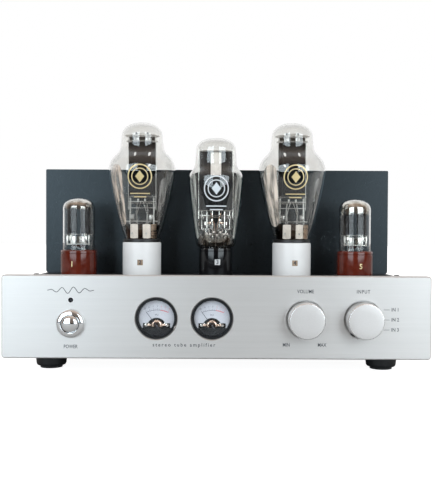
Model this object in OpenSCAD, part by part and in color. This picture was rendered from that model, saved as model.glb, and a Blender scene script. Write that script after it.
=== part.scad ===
// Single-ended stereo tube amplifier: thick aluminium front panel, folded steel chassis,
// five plug-in tubes and a steel cover over the transformers.
// X is the width, Y the depth with the rear at +Y, Z is up. All sizes in millimetres.

/* [Front panel] */
// Width of the front panel
panel_w = 350; // [344:1:380]
// Height of the front panel
panel_h = 68; // [66:1:80]
// Thickness of the front panel
panel_t = 8; // [7:0.5:12]
// Corner radius of the front panel
panel_corner_r = 2.5; // [1:0.5:5]
// Radius of the round recesses that the knobs sit in
recess_r = 16; // [15.5:0.25:18]

/* [Chassis] */
// Width of the chassis behind the panel
chassis_w = 338; // [334:1:344]
// Depth of the chassis behind the panel
chassis_d = 282; // [276:1:320]
// Sheet thickness of the chassis walls
wall_t = 1.5; // [1:0.25:2]
// Sheet thickness of the top plate
top_t = 2; // [1.5:0.25:3]
// How far the top plate lies below the front panel's top edge
panel_lip = 5.5; // [2:0.5:8]
// Height of the feet, pads included
foot_h = 15; // [12:1:20]

/* [Transformer cover] */
// Width of the transformer cover
cover_w = 337; // [320:1:338]
// Height of the transformer cover
cover_h = 102; // [98:1:120]
// Depth of the transformer cover, front to back
cover_d = 150; // [140:1:155]
// Distance from the front panel's face to the cover
cover_setback = 134; // [130:1:140]

/* [Controls] */
// Radius of both knobs
knob_r = 14.5; // [12:0.25:15]
// How far the knobs stand out from the panel
knob_out = 15; // [12:0.5:20]
// Distance of the power button from the centre line
button_x = 118.5; // [100:0.5:130]
// Distance of the volume knob from the centre line
volume_x = 72.5; // [66:0.5:78]
// Distance of the input knob from the centre line
input_x = 119.5; // [115:0.5:130]
// Centre of the left meter, left of the centre line
meter_left_x = 49; // [46:0.5:56]
// Centre of the right meter, left of the centre line
meter_right_x = 3.5; // [-2:0.5:5]
// Radius of a meter's bezel
meter_r = 16.6; // [15.6:0.1:17]

/* [Tubes] */
// Distance of each power tube from the centre line
power_tube_x = 68.5; // [66:0.5:72]
// Distance of each driver tube from the centre line
driver_x = 125.5; // [120:0.5:135]
// How far the rectifier stands left of the centre line
rectifier_left = 1; // [0:0.5:2]
// Distance of the tubes from the front panel's face
tube_setback = 80; // [74:1:86]
// Clear height of the tube bases above the top plate
tube_gap = 1; // [0.5:0.25:2]
// Wall thickness of the glass
glass_t = 1; // [0.6:0.1:1.5]

/* [Hidden] */
$fn = 64;

clear = [0.9, 0.9, 0.88, 0.3];

// Clearances: between fitted still parts, on running shafts, and on sliding parts.
fit = 0.05;
run = 0.05;
slide = 0.2;

// The speaker posts stand out furthest at the back, the knobs at the front.
post_out = 25;
total_d = knob_out + panel_t + chassis_d + post_out;
front_y = knob_out - total_d / 2;
wall_y = front_y + panel_t;
rear_y = wall_y + chassis_d;
inside_y = wall_y + wall_t;

panel_z = foot_h - 1;
bottom_t = 1.2;
frame_z = foot_h + bottom_t;
top_z = panel_z + panel_h - panel_lip;
frame_top = top_z - top_t;
seat_z = top_z + tube_gap;

// Heights of the front controls.
button_z = panel_z + 28.6;
led_z = panel_z + 47.6;
meter_z = panel_z + 32.8;
knob_z = panel_z + 32.6;
shaft_r = 3;
bushing_r = 4.5;
recess_depth = 4;
knob_inset = 2.5;
nut_hole_r = 8.5;

// Power button.
barrel_r = 9.4;
bezel_r = 11.8;
button_r = 7.3;
button_out = 6.6;
button_travel = 3;

// Meters: the pivot lies below the centre, and the needle rests left of upright.
meter_hole_r = meter_r + 0.3;
meter_chamfer_r = meter_r + 1.1;
meter_inset = 0.4;
meter_wall = 1.6;
meter_depth = 26;
pivot_drop = 6.1;
needle_rest = 37;
needle_len = 13.4;
spindle_r = 0.5;
dial_depth = 5.4;

// Opening in the dial for the movement: an arch, and the wider foot under it.
arch_r = 8.1;
arch_drop = 8;
arch_w = 22.4;
arch_foot = 4.2;

// Screws, and the thickness of the tapped tabs that take them.
m3_r = 1.5;
m4_r = 2;
tab_t = 3;

// Feet and their places.
foot_r = 13.8;
pad_r = 9.5;
pad_h = 2;
foot_x = chassis_w / 2 - 26;
foot_ys = [front_y + 42, rear_y - 34];

// Four-pin base and socket.
base4_r = 17.5;
base4_h = 30.5;
neck4_r = 15.5;
pins4 = [[6, 6.2, 1.6], [-6, 6.2, 1.6], [8, -4.6, 2], [-8, -4.6, 2]];
pin4_len = 15;
socket4_r = 17;

// Octal base and socket.
octal_pin_r = 1.18;
octal_circle_r = 8.73;
octal_pin_len = 12;
key_r = 3.95;
socket8_r = 14.5;
driver_base_r = 16;
driver_base_h = 23.2;
driver_neck_r = 14.3;
rect_base_r = 15.4;
rect_base_h = 25.8;
rect_neck_r = 13.9;
socket_h = 17;

tube_y = front_y + tube_setback;
driver_y = tube_y - 5;
four_pin_places = [[-power_tube_x, tube_y], [power_tube_x, tube_y]];
octal_places = [[-driver_x, driver_y], [-rectifier_left, tube_y], [driver_x, driver_y]];

// Rear connectors.
jack_xs = [104, 121, 138];
jack_zs = [frame_z + 20, frame_z + 40];
jack_r = 4.15;
jack_out = 10;
post_xs = [-74, -52, -30, 30, 52, 74];
post_z = frame_z + 29;
post_r = 3.1;
banana_r = 2.05;
cap_r = 7.5;
cap_travel = 5;
inlet_x = -125;
inlet_z = frame_z + 29;
inlet_w = 50;
inlet_h = 38;
cavity_w = 24.6;
cavity_h = 16.8;
cavity_rise = 6;
drawer_w = 24;
drawer_h = 7.6;
drawer_drop = 11.5;
drawer_depth = 20;

// ---------------------------------------------------------------- helpers

// Children drawn with x right, y up and z out of the front panel's face.
module on_front(x, z, out = 0) {
    translate([x, front_y - out, z]) rotate([90, 0, 0]) children();
}

// Children drawn with z out of the rear wall.
module on_rear(x, z, out = 0) {
    translate([x, rear_y + out, z]) rotate([90, 0, 180]) children();
}

// Upright slab with square faces and rounded vertical edges, from z = 0.
module slab(w, d, h, r) {
    translate([-w / 2 + r, -d / 2, 0]) cube([w - 2 * r, d, h]);
    translate([-w / 2, -d / 2 + r, 0]) cube([w, d - 2 * r, h]);
    for (sx = [-1, 1], sy = [-1, 1])
        translate([sx * (w / 2 - r), sy * (d / 2 - r), 0]) cylinder(r = r, h = h);
}

module ring(r_out, r_in, h) {
    difference() {
        cylinder(r = r_out, h = h);
        translate([0, 0, -1]) cylinder(r = r_in, h = h + 2);
    }
}

module box(w, d, h) {
    translate([-w / 2, -d / 2, 0]) cube([w, d, h]);
}

// Points of a cubic curve from a to d, with b and c as its handles; the last point is left out.
function curve(a, b, c, d, n = 6) =
    [for (i = [0 : n - 1]) let (t = i / n)
        pow(1 - t, 3) * a + 3 * pow(1 - t, 2) * t * b + 3 * (1 - t) * t * t * c + pow(t, 3) * d];

// A turned profile moved inwards by t: walls in, and the crown down.
function inset(p, t) =
    [for (i = [0 : len(p) - 1])
        let (a = p[max(i - 1, 0)], b = p[min(i + 1, len(p) - 1)], along = (b - a) / norm(b - a))
        i == len(p) - 1 ? [0, p[i].y - t] : [max(p[i].x - t * along.y, 0), p[i].y + t * along.x]];

function reversed(p) = [for (i = [len(p) - 1 : -1 : 0]) p[i]];

module shell_of(profile, t) {
    rotate_extrude($fn = 96) polygon(concat(profile, reversed(inset(profile, t))));
}

// ---------------------------------------------------------------- fasteners

// Each module below places its children with z out of the screw's head.
module plate_screw_places() {
    for (sx = [-1, 1], s = [30, 77])
        translate([sx * (chassis_w / 2 - 4.5), front_y + s, top_z]) children();
}

module socket_screw_places() {
    for (p = four_pin_places, s = [-1, 1])
        translate([p.x + s * (socket4_r + 4.5), p.y, top_z]) children();
    for (p = octal_places, s = [-1, 1])
        translate([p.x + s * (socket8_r + 4.5), p.y, top_z]) children();
}

module cover_screw_places() {
    for (sx = [-1, 1], s = [35, cover_d - 35])
        translate([sx * (cover_w / 2 - 8), front_y + cover_setback + s, frame_top])
            rotate([180, 0, 0]) children();
}

module bottom_screw_places() {
    for (sx = [-1, 1], s = [40, chassis_d / 2, chassis_d - 40])
        translate([sx * (chassis_w / 2 - 6), wall_y + s, foot_h]) rotate([180, 0, 0]) children();
}

module panel_screw_places() {
    for (sx = [-1, 1], z = [frame_z + 10, frame_top - 10])
        translate([sx * (chassis_w / 2 - 16), inside_y, z]) rotate([-90, 0, 0]) children();
}

module inlet_screw_places() {
    for (sx = [-1, 1])
        on_rear(inlet_x + sx * (inlet_w / 2 - 5), inlet_z, 2) children();
}

// Button-head screw: a domed head on z = 0 with a hexagon socket, and a shank below it.
module button_screw(head_r, head_h, shank_r, shank_len) {
    difference() {
        union() {
            cylinder(r1 = head_r, r2 = head_r * 0.93, h = head_h * 0.4);
            translate([0, 0, head_h * 0.4])
                cylinder(r1 = head_r * 0.93, r2 = head_r * 0.55, h = head_h * 0.6);
        }
        translate([0, 0, head_h * 0.45]) cylinder(r = head_r * 0.36, h = head_h, $fn = 6);
    }
    translate([0, 0, -shank_len]) cylinder(r = shank_r, h = shank_len);
}

module screw_hole(r, depth) {
    translate([0, 0, -depth]) cylinder(r = r + 0.1, h = depth + 1);
}

module screws() {
    color([0.2, 0.2, 0.2]) {
        plate_screw_places() button_screw(3.8, 2.4, m4_r, top_t + tab_t);
        socket_screw_places() button_screw(2.6, 1.6, m3_r, top_t + 2);
        cover_screw_places() button_screw(2.6, 1.6, m3_r, top_t + 1.5);
        bottom_screw_places() button_screw(2.6, 1.6, m3_r, bottom_t + tab_t);
        panel_screw_places() button_screw(3.8, 2.4, m4_r, wall_t + 5);
        inlet_screw_places() button_screw(2.6, 1.6, m3_r, 2 + wall_t);
    }
}

// ---------------------------------------------------------------- front panel and chassis

module panel_outline(t, grow = 0) {
    translate([0, 0, panel_h / 2]) rotate([90, 0, 0])
        slab(panel_w + 2 * grow, panel_h + 2 * grow, t, panel_corner_r + grow);
}

module front_panel() {
    edge = 0.8;
    color("gainsboro") difference() {
        hull() {
            translate([0, wall_y, panel_z]) panel_outline(panel_t - edge, $fn = 32);
            translate([0, wall_y, panel_z]) panel_outline(panel_t, -edge, $fn = 32);
        }
        on_front(-button_x, button_z, -panel_t - 1) cylinder(r = barrel_r + 0.2, h = panel_t + 2);
        on_front(-button_x, led_z, -panel_t - 1) cylinder(r = 2, h = panel_t + 2);
        for (x = [-meter_left_x, -meter_right_x]) {
            on_front(x, meter_z, -panel_t - 1) cylinder(r = meter_hole_r, h = panel_t + 2);
            on_front(x, meter_z, -(meter_chamfer_r - meter_hole_r))
                cylinder(r1 = meter_hole_r, r2 = meter_chamfer_r + 1,
                         h = meter_chamfer_r - meter_hole_r + 1);
        }
        for (x = [volume_x, input_x]) {
            on_front(x, knob_z, -recess_depth) cylinder(r = recess_r, h = recess_depth + 1);
            on_front(x, knob_z, -panel_t - 1) cylinder(r = nut_hole_r, h = panel_t + 1);
        }
        panel_screw_places() screw_hole(m4_r, wall_t + 5.5);
    }
}

// Tab that stands in from a side wall, just under or over the plate that is screwed to it.
module frame_tabs(z, stations) {
    for (sx = [-1, 1], s = stations)
        translate([sx * (chassis_w / 2 - wall_t - 6), s, z]) box(13, 14, tab_t);
}

module chassis_frame() {
    h = frame_top - frame_z;
    color("dimgray") difference() {
        union() {
            difference() {
                translate([0, (wall_y + rear_y) / 2, frame_z]) slab(chassis_w, chassis_d, h, 2);
                translate([0, (wall_y + rear_y) / 2, frame_z - 1])
                    slab(chassis_w - 2 * wall_t, chassis_d - 2 * wall_t, h + 2, 0.5);
            }
            frame_tabs(frame_top - tab_t, [front_y + 30, front_y + 77]);
            frame_tabs(frame_z, [wall_y + 40, wall_y + chassis_d / 2, rear_y - 40]);
        }
        plate_screw_places() screw_hole(m4_r, 10);
        bottom_screw_places() screw_hole(m3_r, 10);
        panel_screw_places() screw_hole(m4_r, 5);
        inlet_screw_places() screw_hole(m3_r, 10);
        on_front(-button_x, button_z, -panel_t - wall_t - 1) cylinder(r = barrel_r + 0.2, h = wall_t + 2);
        on_front(-button_x, led_z, -panel_t - wall_t - 1) cylinder(r = 2, h = wall_t + 2);
        for (x = [-meter_left_x, -meter_right_x])
            on_front(x, meter_z, -panel_t - wall_t - 1) cylinder(r = meter_hole_r, h = wall_t + 2);
        for (x = [volume_x, input_x])
            on_front(x, knob_z, -panel_t - wall_t - 1) cylinder(r = bushing_r + fit, h = wall_t + 2);
        for (x = jack_xs, z = jack_zs)
            on_rear(x, z, -wall_t - 1) cylinder(r = 3.9, h = wall_t + 2);
        for (x = post_xs)
            on_rear(x, post_z, -wall_t - 1) cylinder(r = 4.4, h = wall_t + 2);
        on_rear(inlet_x, inlet_z, -wall_t - 1) box(inlet_w - 20, inlet_h - 3, wall_t + 2);
    }
}

module top_plate() {
    color([0.12, 0.12, 0.13]) difference() {
        translate([0, (wall_y + rear_y) / 2, frame_top]) slab(chassis_w, chassis_d, top_t, 2);
        for (p = four_pin_places)
            translate([p.x, p.y, frame_top - 1]) cylinder(r = socket4_r + 0.2, h = top_t + 2);
        for (p = octal_places)
            translate([p.x, p.y, frame_top - 1]) cylinder(r = socket8_r + 0.2, h = top_t + 2);
        plate_screw_places() screw_hole(m4_r, top_t + 1);
        socket_screw_places() screw_hole(m3_r, top_t + 1);
        cover_screw_places() screw_hole(m3_r, top_t + 1);
        for (x = [-62, 62])
            translate([x, front_y + cover_setback + cover_d / 2, frame_top - 1])
                cylinder(r = 6, h = top_t + 2);
    }
}

module bottom_plate() {
    slot_w = 3;
    slot_l = 40;
    color([0.12, 0.12, 0.13]) difference() {
        translate([0, (wall_y + rear_y) / 2, foot_h]) slab(chassis_w, chassis_d, bottom_t, 2);
        for (row = [0 : 1], i = [0 : 15])
            translate([-75 + i * 10, tube_y + row * 110, foot_h - 1])
                slab(slot_w, slot_l, bottom_t + 2, 1.2, $fn = 24);
        bottom_screw_places() screw_hole(m3_r, bottom_t + 1);
    }
}

module foot() {
    edge = 2;
    rotate_extrude() polygon(concat(
        [[0, foot_h - 1], [0, pad_h], [11, pad_h]],
        curve([11, pad_h], [12.2, pad_h], [12.6, pad_h + edge / 2], [12.8, pad_h + edge]),
        [[12.8, pad_h + edge], [foot_r, foot_h - 1]]));
    translate([0, 0, foot_h - 1]) cylinder(r = foot_r, h = 1);
}

module feet() {
    color([0.05, 0.05, 0.05])
        for (sx = [-1, 1], y = foot_ys) translate([sx * foot_x, y, 0]) foot();
}

module foot_pads() {
    color([0.1, 0.1, 0.1])
        for (sx = [-1, 1], y = foot_ys) translate([sx * foot_x, y, 0]) cylinder(r = pad_r, h = pad_h);
}

// ---------------------------------------------------------------- transformers

module cover_tunnel(w, h, d, r_top, r_bottom) {
    rotate([90, 0, 0]) {
        translate([-w / 2 + r_bottom, 0, 0]) cube([w - 2 * r_bottom, r_bottom, d]);
        translate([-w / 2, r_bottom, 0]) cube([w, h - r_top - r_bottom, d]);
        translate([-w / 2 + r_top, h - r_top, 0]) cube([w - 2 * r_top, r_top, d]);
        for (s = [-1, 1]) {
            translate([s * (w / 2 - r_bottom), r_bottom, 0]) cylinder(r = r_bottom, h = d);
            translate([s * (w / 2 - r_top), h - r_top, 0]) cylinder(r = r_top, h = d);
        }
    }
}

module transformer_cover() {
    t = 1.5;
    flange = 14;
    back_y = front_y + cover_setback + cover_d;
    color([0.15, 0.17, 0.2]) difference() {
        translate([0, back_y, top_z]) cover_tunnel(cover_w, cover_h, cover_d, 1.2, 3);
        translate([0, back_y - t, top_z + t])
            cover_tunnel(cover_w - 2 * t, cover_h - 2 * t, cover_d - 2 * t, 0.4, 1.5);
        translate([0, back_y - t, top_z - 1]) translate([-cover_w / 2 + flange, -cover_d + 2 * t, 0])
            cube([cover_w - 2 * flange, cover_d - 2 * t, t + 2]);
        for (row = [0 : 1], i = [-7 : 7])
            translate([i * 17, back_y, top_z + 30 + row * 38]) rotate([90, 0, 0])
                translate([0, 0, -1]) slab(3, 26, t + 2, 1.2, $fn = 24);
        cover_screw_places() screw_hole(m3_r, top_t + t + 1);
    }
}

// Laminated core on edge with its winding, end bells left off.
module transformer(w, d, h) {
    leg = w / 3;
    core_d = d * 0.55;
    window_h = h * 0.56;
    difference() {
        translate([0, 0, 6]) box(w, core_d, h);
        for (s = [-1, 1])
            translate([s * leg * 0.78, 0, 6 + (h - window_h) / 2]) box(leg * 0.56, core_d + 2, window_h);
    }
    difference() {
        translate([0, 0, 6 + (h - window_h) / 2 + 0.5]) slab(leg * 2.05, d, window_h - 1, 4);
        translate([0, 0, 0]) box(leg * 1.02, core_d + 0.2, h * 2);
    }
    for (s = [-1, 1]) {
        translate([s * (w / 2 - 4), 0, 0]) box(8, d * 0.8, 2);
        translate([s * (w / 2 - 4), 0, 2]) box(8, core_d, 4);
    }
}

module seat_transformer(x, w, d, h) {
    color([0.35, 0.3, 0.22])
        translate([x, front_y + cover_setback + cover_d / 2, top_z]) transformer(w, d, h);
}

module power_transformer() { seat_transformer(0, 108, 110, 84); }
module output_transformer_left() { seat_transformer(-109, 84, 96, 72); }
module output_transformer_right() { seat_transformer(109, 84, 96, 72); }

module choke() {
    color([0.35, 0.3, 0.22]) translate([-110, rear_y - 110, frame_z + 0.1]) {
        difference() {
            box(54, 26, 44);
            for (s = [-1, 1]) translate([s * 14, 0, 10]) box(9, 28, 24);
        }
        difference() {
            translate([0, 0, 10.4]) slab(36.8, 42, 23.2, 3);
            box(18.4, 26.2, 60);
        }
    }
}

// ---------------------------------------------------------------- electronics in the chassis

board_z = frame_z + 12;
board_y = (wall_y + rear_y) / 2 + 30;

module circuit_board() {
    color([0.1, 0.35, 0.2]) {
        difference() {
            translate([20, board_y, board_z]) box(170, 110, 1.6);
            for (sx = [-1, 1], sy = [-1, 1])
                translate([20 + sx * 79, board_y + sy * 49, board_z - 1]) cylinder(r = 1.6, h = 4);
        }
        for (sx = [-1, 1], sy = [-1, 1])
            translate([20 + sx * 79, board_y + sy * 49, frame_z]) {
                cylinder(r = 3, h = board_z - frame_z, $fn = 6);
                cylinder(r = 1.5, h = board_z - frame_z + 4);
            }
        for (i = [0 : 7], sy = [-1, 1])
            translate([-38 + i * 16, board_y + sy * 30, board_z + 3.7])
                rotate([0, 90, 0]) cylinder(r = 2.2, h = 9);
    }
}

module capacitors() {
    color([0.1, 0.15, 0.35]) {
        for (i = [0 : 3])
            translate([-30 + i * 34, board_y + 2, board_z + 1.6]) cylinder(r = 13.5, h = 38);
        for (i = [0 : 3])
            translate([-44 + i * 36, board_y - 45, board_z + 8.2])
                rotate([0, 90, 0]) cylinder(r = 6.5, h = 30);
    }
}

// Rotary control behind the panel: body, threaded bushing and nut around the knob's shaft.
module rotary_control(x, body_r, body_d) {
    on_front(x, knob_z, -panel_t - wall_t - body_d) difference() {
        union() {
            cylinder(r = body_r, h = body_d);
            translate([0, 0, body_d]) cylinder(r = bushing_r, h = wall_t + panel_t - recess_depth);
        }
        translate([0, 0, body_d - 10]) cylinder(r = shaft_r + run, h = 40);
    }
    on_front(x, knob_z, -panel_t) difference() {
        cylinder(r = 7.2, h = 2.4, $fn = 6);
        translate([0, 0, -1]) cylinder(r = bushing_r + fit, h = 5);
    }
}

module volume_pot() { color("silver") rotary_control(volume_x, 12.5, 20); }
module selector_switch() { color("tan") rotary_control(input_x, 14, 24); }

// ---------------------------------------------------------------- front controls

module knob(x) {
    chamfer = 0.7;
    top = knob_out + knob_inset;
    on_front(x, knob_z, -knob_inset) difference() {
        union() {
            cylinder(r = knob_r, h = top - chamfer);
            translate([0, 0, top - chamfer]) cylinder(r1 = knob_r, r2 = knob_r - chamfer, h = chamfer);
        }
        translate([0, 0, -1]) cylinder(r = shaft_r + 0.02, h = 13);
        translate([0, 0, -1]) cylinder(r = 6, h = 3);
        translate([0, 0, 6]) rotate([0, 90, 0]) cylinder(r = 1.55, h = knob_r + 1);
    }
    on_front(x, knob_z, -knob_inset) translate([shaft_r + 0.05, 0, 6])
        rotate([0, 90, 0]) cylinder(r = 1.5, h = 6);
    on_front(x, knob_z, -panel_t - wall_t - 8) cylinder(r = shaft_r, h = panel_t + wall_t + 8 + 9);
}

module volume_knob() { color("silver") knob(volume_x); }
module input_knob() { color("silver") knob(input_x); }

module power_bezel() {
    body_d = 34;
    color("gainsboro") {
        on_front(-button_x, button_z) rotate_extrude() polygon(concat(
            [[button_r + slide, -14], [barrel_r, -14], [barrel_r, 0], [bezel_r, 0]],
            curve([bezel_r, 0.4], [bezel_r, 2.6], [10.4, 3.8], [7.9, 4.1], n = 8),
            [[7.9, 4.1], [button_r + slide, 3.8]]));
        on_front(-button_x, button_z, -body_d) cylinder(r = barrel_r, h = body_d - 14);
        on_front(-button_x, button_z, -panel_t - wall_t - 4) difference() {
            cylinder(r = 13, h = 4, $fn = 6);
            translate([0, 0, -1]) cylinder(r = barrel_r + fit, h = 6);
        }
    }
}

module power_button() {
    color("white") on_front(-button_x, button_z) rotate_extrude() polygon(concat(
        [[0, -10], [button_r, -10]],
        curve([button_r, 3.0], [7.2, 5.2], [4.2, button_out], [0, button_out], n = 10),
        [[0, button_out]]));
}

module status_led() {
    color([0.1, 0.1, 0.12]) on_front(-button_x, led_z, -12) {
        cylinder(r = 1.5, h = 10);
        translate([0, 0, 10]) cylinder(r1 = 1.5, r2 = 0.9, h = 1);
        cylinder(r = 2.2, h = 1);
    }
}

// ---------------------------------------------------------------- meters

module meter_housing(x) {
    floor_out = -meter_depth;
    front_out = -meter_inset;
    mask_top = -pivot_drop - 2;
    on_front(x, meter_z) {
        difference() {
            translate([0, 0, floor_out]) cylinder(r = meter_r, h = front_out - floor_out);
            translate([0, 0, floor_out + 2]) cylinder(r = meter_r - meter_wall - 0.4, h = meter_depth);
            translate([0, 0, -2.4]) cylinder(r = meter_r - meter_wall, h = 4);
        }
        intersection() {
            translate([0, 0, -4.9]) cylinder(r = meter_r - meter_wall - 0.3, h = 0.4);
            translate([-20, -20, -6]) cube([40, 20 + mask_top, 4]);
        }
        for (s = [-1, 1]) {
            translate([s * 11, 4, floor_out + 2]) cylinder(r = 1.4, h = meter_depth - 2 - dial_depth - 0.6);
            translate([s * 6, 0, floor_out - 5]) cylinder(r = 1.5, h = 5);
        }
        // Movement: a magnet ring with a bridge that holds the needle's spindle at each end.
        translate([0, -pivot_drop, floor_out + 2]) difference() {
            cylinder(r = 7.4, h = 12);
            translate([0, 0, 3]) cylinder(r = 5.6, h = 12);
            cylinder(r = spindle_r + run, h = 12);
        }
        translate([0, -pivot_drop, -9.6]) difference() {
            box(13, 3, 1);
            translate([0, 0, -1]) cylinder(r = spindle_r + run, h = 4);
        }
        for (s = [-1, 1])
            translate([s * 6.5, -pivot_drop, -13]) cylinder(r = 0.8, h = 3.5);
    }
}

module meter_housings() {
    color([0.06, 0.06, 0.07]) for (x = [-meter_left_x, -meter_right_x]) meter_housing(x);
}

module meter_dial(x) {
    on_front(x, meter_z, -dial_depth - 0.6) difference() {
        cylinder(r = meter_r - meter_wall - 0.5, h = 0.6);
        translate([0, -arch_drop, -1]) cylinder(r = arch_r, h = 3);
        translate([-arch_w / 2, -20, -1]) cube([arch_w, 20 - arch_foot, 3]);
    }
}

module meter_dials() {
    color([0.8, 0.87, 0.95]) for (x = [-meter_left_x, -meter_right_x]) meter_dial(x);
}

module meter_lenses() {
    color([0.9, 0.95, 1, 0.3]) for (x = [-meter_left_x, -meter_right_x])
        on_front(x, meter_z, -2.4) cylinder(r = meter_r - meter_wall - fit, h = 1.2);
}

module needle(x) {
    on_front(x, meter_z) translate([0, -pivot_drop, 0]) {
        translate([0, 0, -meter_depth + 3]) cylinder(r = spindle_r, h = meter_depth - 3 - 3.4);
        rotate([0, 0, needle_rest]) {
            translate([-0.2, 0, -4.2]) cube([0.4, needle_len, 0.3]);
            translate([-0.5, -3.4, -4.2]) cube([1, 3.4, 0.3]);
        }
        difference() {
            translate([0, 0, -20]) cylinder(r = 4.6, h = 8);
            translate([0, 0, -21]) cylinder(r = 3.8, h = 6.5);
            translate([0, 0, -13]) cylinder(r = 3.8, h = 6.5);
        }
    }
}

module left_needle() { color([0.05, 0.05, 0.06]) needle(-meter_left_x); }
module right_needle() { color([0.05, 0.05, 0.06]) needle(-meter_right_x); }

// ---------------------------------------------------------------- rear connectors

module mains_inlet() {
    color([0.08, 0.08, 0.08]) {
        on_rear(inlet_x, inlet_z) difference() {
            union() {
                slab(inlet_w, inlet_h, 2, 3);
                translate([0, 0, -24]) box(inlet_w - 20.4, inlet_h - 3.4, 24);
            }
            translate([0, cavity_rise, -16]) box(cavity_w, cavity_h, 20);
            translate([0, -drawer_drop, -drawer_depth - 1])
                box(drawer_w + 2 * slide, drawer_h + 2 * slide, 30);
            for (s = [-1, 1])
                translate([s * (inlet_w / 2 - 5), 0, -1]) cylinder(r = m3_r + 0.1, h = 4);
        }
        on_rear(inlet_x, inlet_z, -16) for (i = [-1 : 1])
            translate([i * 7, cavity_rise - 2 + 4 * (1 - abs(i)), 0]) box(2, 4, 14);
    }
}

module fuse_drawer() {
    fuse_r = 2.6;
    color([0.15, 0.15, 0.15]) on_rear(inlet_x, inlet_z - drawer_drop, -drawer_depth) {
        difference() {
            box(drawer_w, drawer_h, drawer_depth + 3);
            translate([0, 1.2, 5]) box(21.2, drawer_h, 2 * fuse_r + 0.4);
            translate([0, 0, drawer_depth + 2]) translate([-6, -drawer_h, 0]) cube([12, drawer_h, 2]);
        }
        translate([-10, 0.2, 5 + fuse_r + 0.2]) rotate([0, 90, 0]) cylinder(r = fuse_r, h = 20);
    }
}

module input_jacks() {
    color("gold") for (x = jack_xs, z = jack_zs) on_rear(x, z) {
        ring(6, 3.4, 1.2);
        translate([0, 0, 1.2]) ring(jack_r, 3.4, jack_out - 1.2);
        translate([0, 0, -6]) ring(3.35, 2.25, jack_out + 5);
        translate([0, 0, -8]) ring(2.2, 1.65, jack_out + 7);
    }
}

module speaker_posts() {
    color("goldenrod") for (x = post_xs) on_rear(x, post_z) {
        difference() {
            translate([0, 0, -12]) cylinder(r = post_r, h = post_out + 12 - 1);
            translate([0, 0, post_out - 16]) cylinder(r = banana_r, h = 20);
            translate([0, 0, 5.4]) rotate([90, 0, 0]) translate([0, 0, -10]) cylinder(r = 1.5, h = 20);
        }
        ring(8, post_r + fit, 3);
        translate([0, 0, -wall_t - 3]) ring(7, post_r + fit, 3);
    }
}

module post_cap(x) {
    color("darkred") on_rear(x, post_z, 3.2) difference() {
        union() {
            cylinder(r = cap_r, h = post_out - 4.2);
            translate([0, 0, post_out - 4.2]) cylinder(r1 = cap_r, r2 = cap_r - 1, h = 1);
        }
        translate([0, 0, -1]) cylinder(r = post_r + run, h = post_out);
        for (a = [0 : 30 : 330])
            rotate(a) translate([cap_r + 0.5, 0, 3]) cylinder(r = 1, h = post_out);
    }
}

module post_cap_1() { post_cap(post_xs[0]); }
module post_cap_2() { post_cap(post_xs[1]); }
module post_cap_3() { post_cap(post_xs[2]); }
module post_cap_4() { post_cap(post_xs[3]); }
module post_cap_5() { post_cap(post_xs[4]); }
module post_cap_6() { post_cap(post_xs[5]); }

// ---------------------------------------------------------------- tube sockets

module socket_body(r, holes) {
    color("ivory") difference() {
        union() {
            translate([0, 0, seat_z - 0.1 - socket_h]) cylinder(r = r, h = socket_h);
            translate([0, 0, frame_top - 2]) slab(2 * r + 16, 2 * r - 6, 2, 4);
        }
        for (p = holes)
            translate([p.x, p.y, seat_z - 1 - socket_h]) cylinder(r = p.z, h = socket_h + 2);
        for (s = [-1, 1])
            translate([s * (r + 4.5), 0, frame_top - 3]) cylinder(r = m3_r + 0.1, h = 4);
    }
}

module sockets_four_pin() {
    for (p = four_pin_places) translate([p.x, p.y, 0])
        socket_body(socket4_r, [for (q = pins4) [q.x, q.y, q.z + slide]]);
}

function octal_holes(r) = [for (i = [0 : 7]) let (a = 22.5 + i * 45)
    [octal_circle_r * cos(a), octal_circle_r * sin(a), r]];

module sockets_octal() {
    for (p = octal_places) translate([p.x, p.y, 0])
        socket_body(socket8_r, concat([[0, 0, key_r + slide]], octal_holes(octal_pin_r + slide)));
}

// ---------------------------------------------------------------- tubes

module at_tube(p) { translate([p.x, p.y, seat_z]) children(); }

// Cup that holds the glass, with a chamfered rim and a floor drilled for the pins.
module base_cup(r, h, neck_r, floor_h, holes) {
    rim = 1;
    difference() {
        union() {
            cylinder(r1 = r - 0.6, r2 = r, h = 0.6);
            translate([0, 0, 0.6]) cylinder(r = r, h = h - rim - 0.6);
            translate([0, 0, h - rim]) cylinder(r1 = r, r2 = r - rim, h = rim);
        }
        translate([0, 0, floor_h]) cylinder(r = neck_r + fit, h = h);
        for (p = holes) translate([p.x, p.y, -1]) cylinder(r = p.z + 0.03, h = floor_h + 2);
    }
}

// A pin with a rounded tip, from inside the base's floor down to its length.
module pin(r, len, up) {
    translate([0, 0, -len + r / 2]) cylinder(r = r, h = len - r / 2 + up);
    translate([0, 0, -len]) cylinder(r1 = r / 2, r2 = r, h = r / 2);
}

// Thin mica disc with flats where the support rods pass.
module mica(w, d, z, rods) {
    translate([0, 0, z]) difference() {
        slab(w, d, 0.5, min(w, d) / 2 - 0.1);
        for (p = rods) translate([p.x, p.y, -1]) cylinder(r = p.z + 0.02, h = 3, $fn = 24);
    }
}

module rods(places, z0, z1) {
    for (p = places) translate([p.x, p.y, z0]) cylinder(r = p.z, h = z1 - z0, $fn = 24);
}

// Glass foot that carries the electrodes: a flared skirt under a flattened press.
module stem(neck_r, z0, press_z, press_w) {
    translate([0, 0, z0]) cylinder(r1 = neck_r - 2.2, r2 = press_w / 2, h = (press_z - z0) * 0.55);
    translate([0, 0, z0 + (press_z - z0) * 0.55]) box(press_w, 5, (press_z - z0) * 0.45);
}

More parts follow.
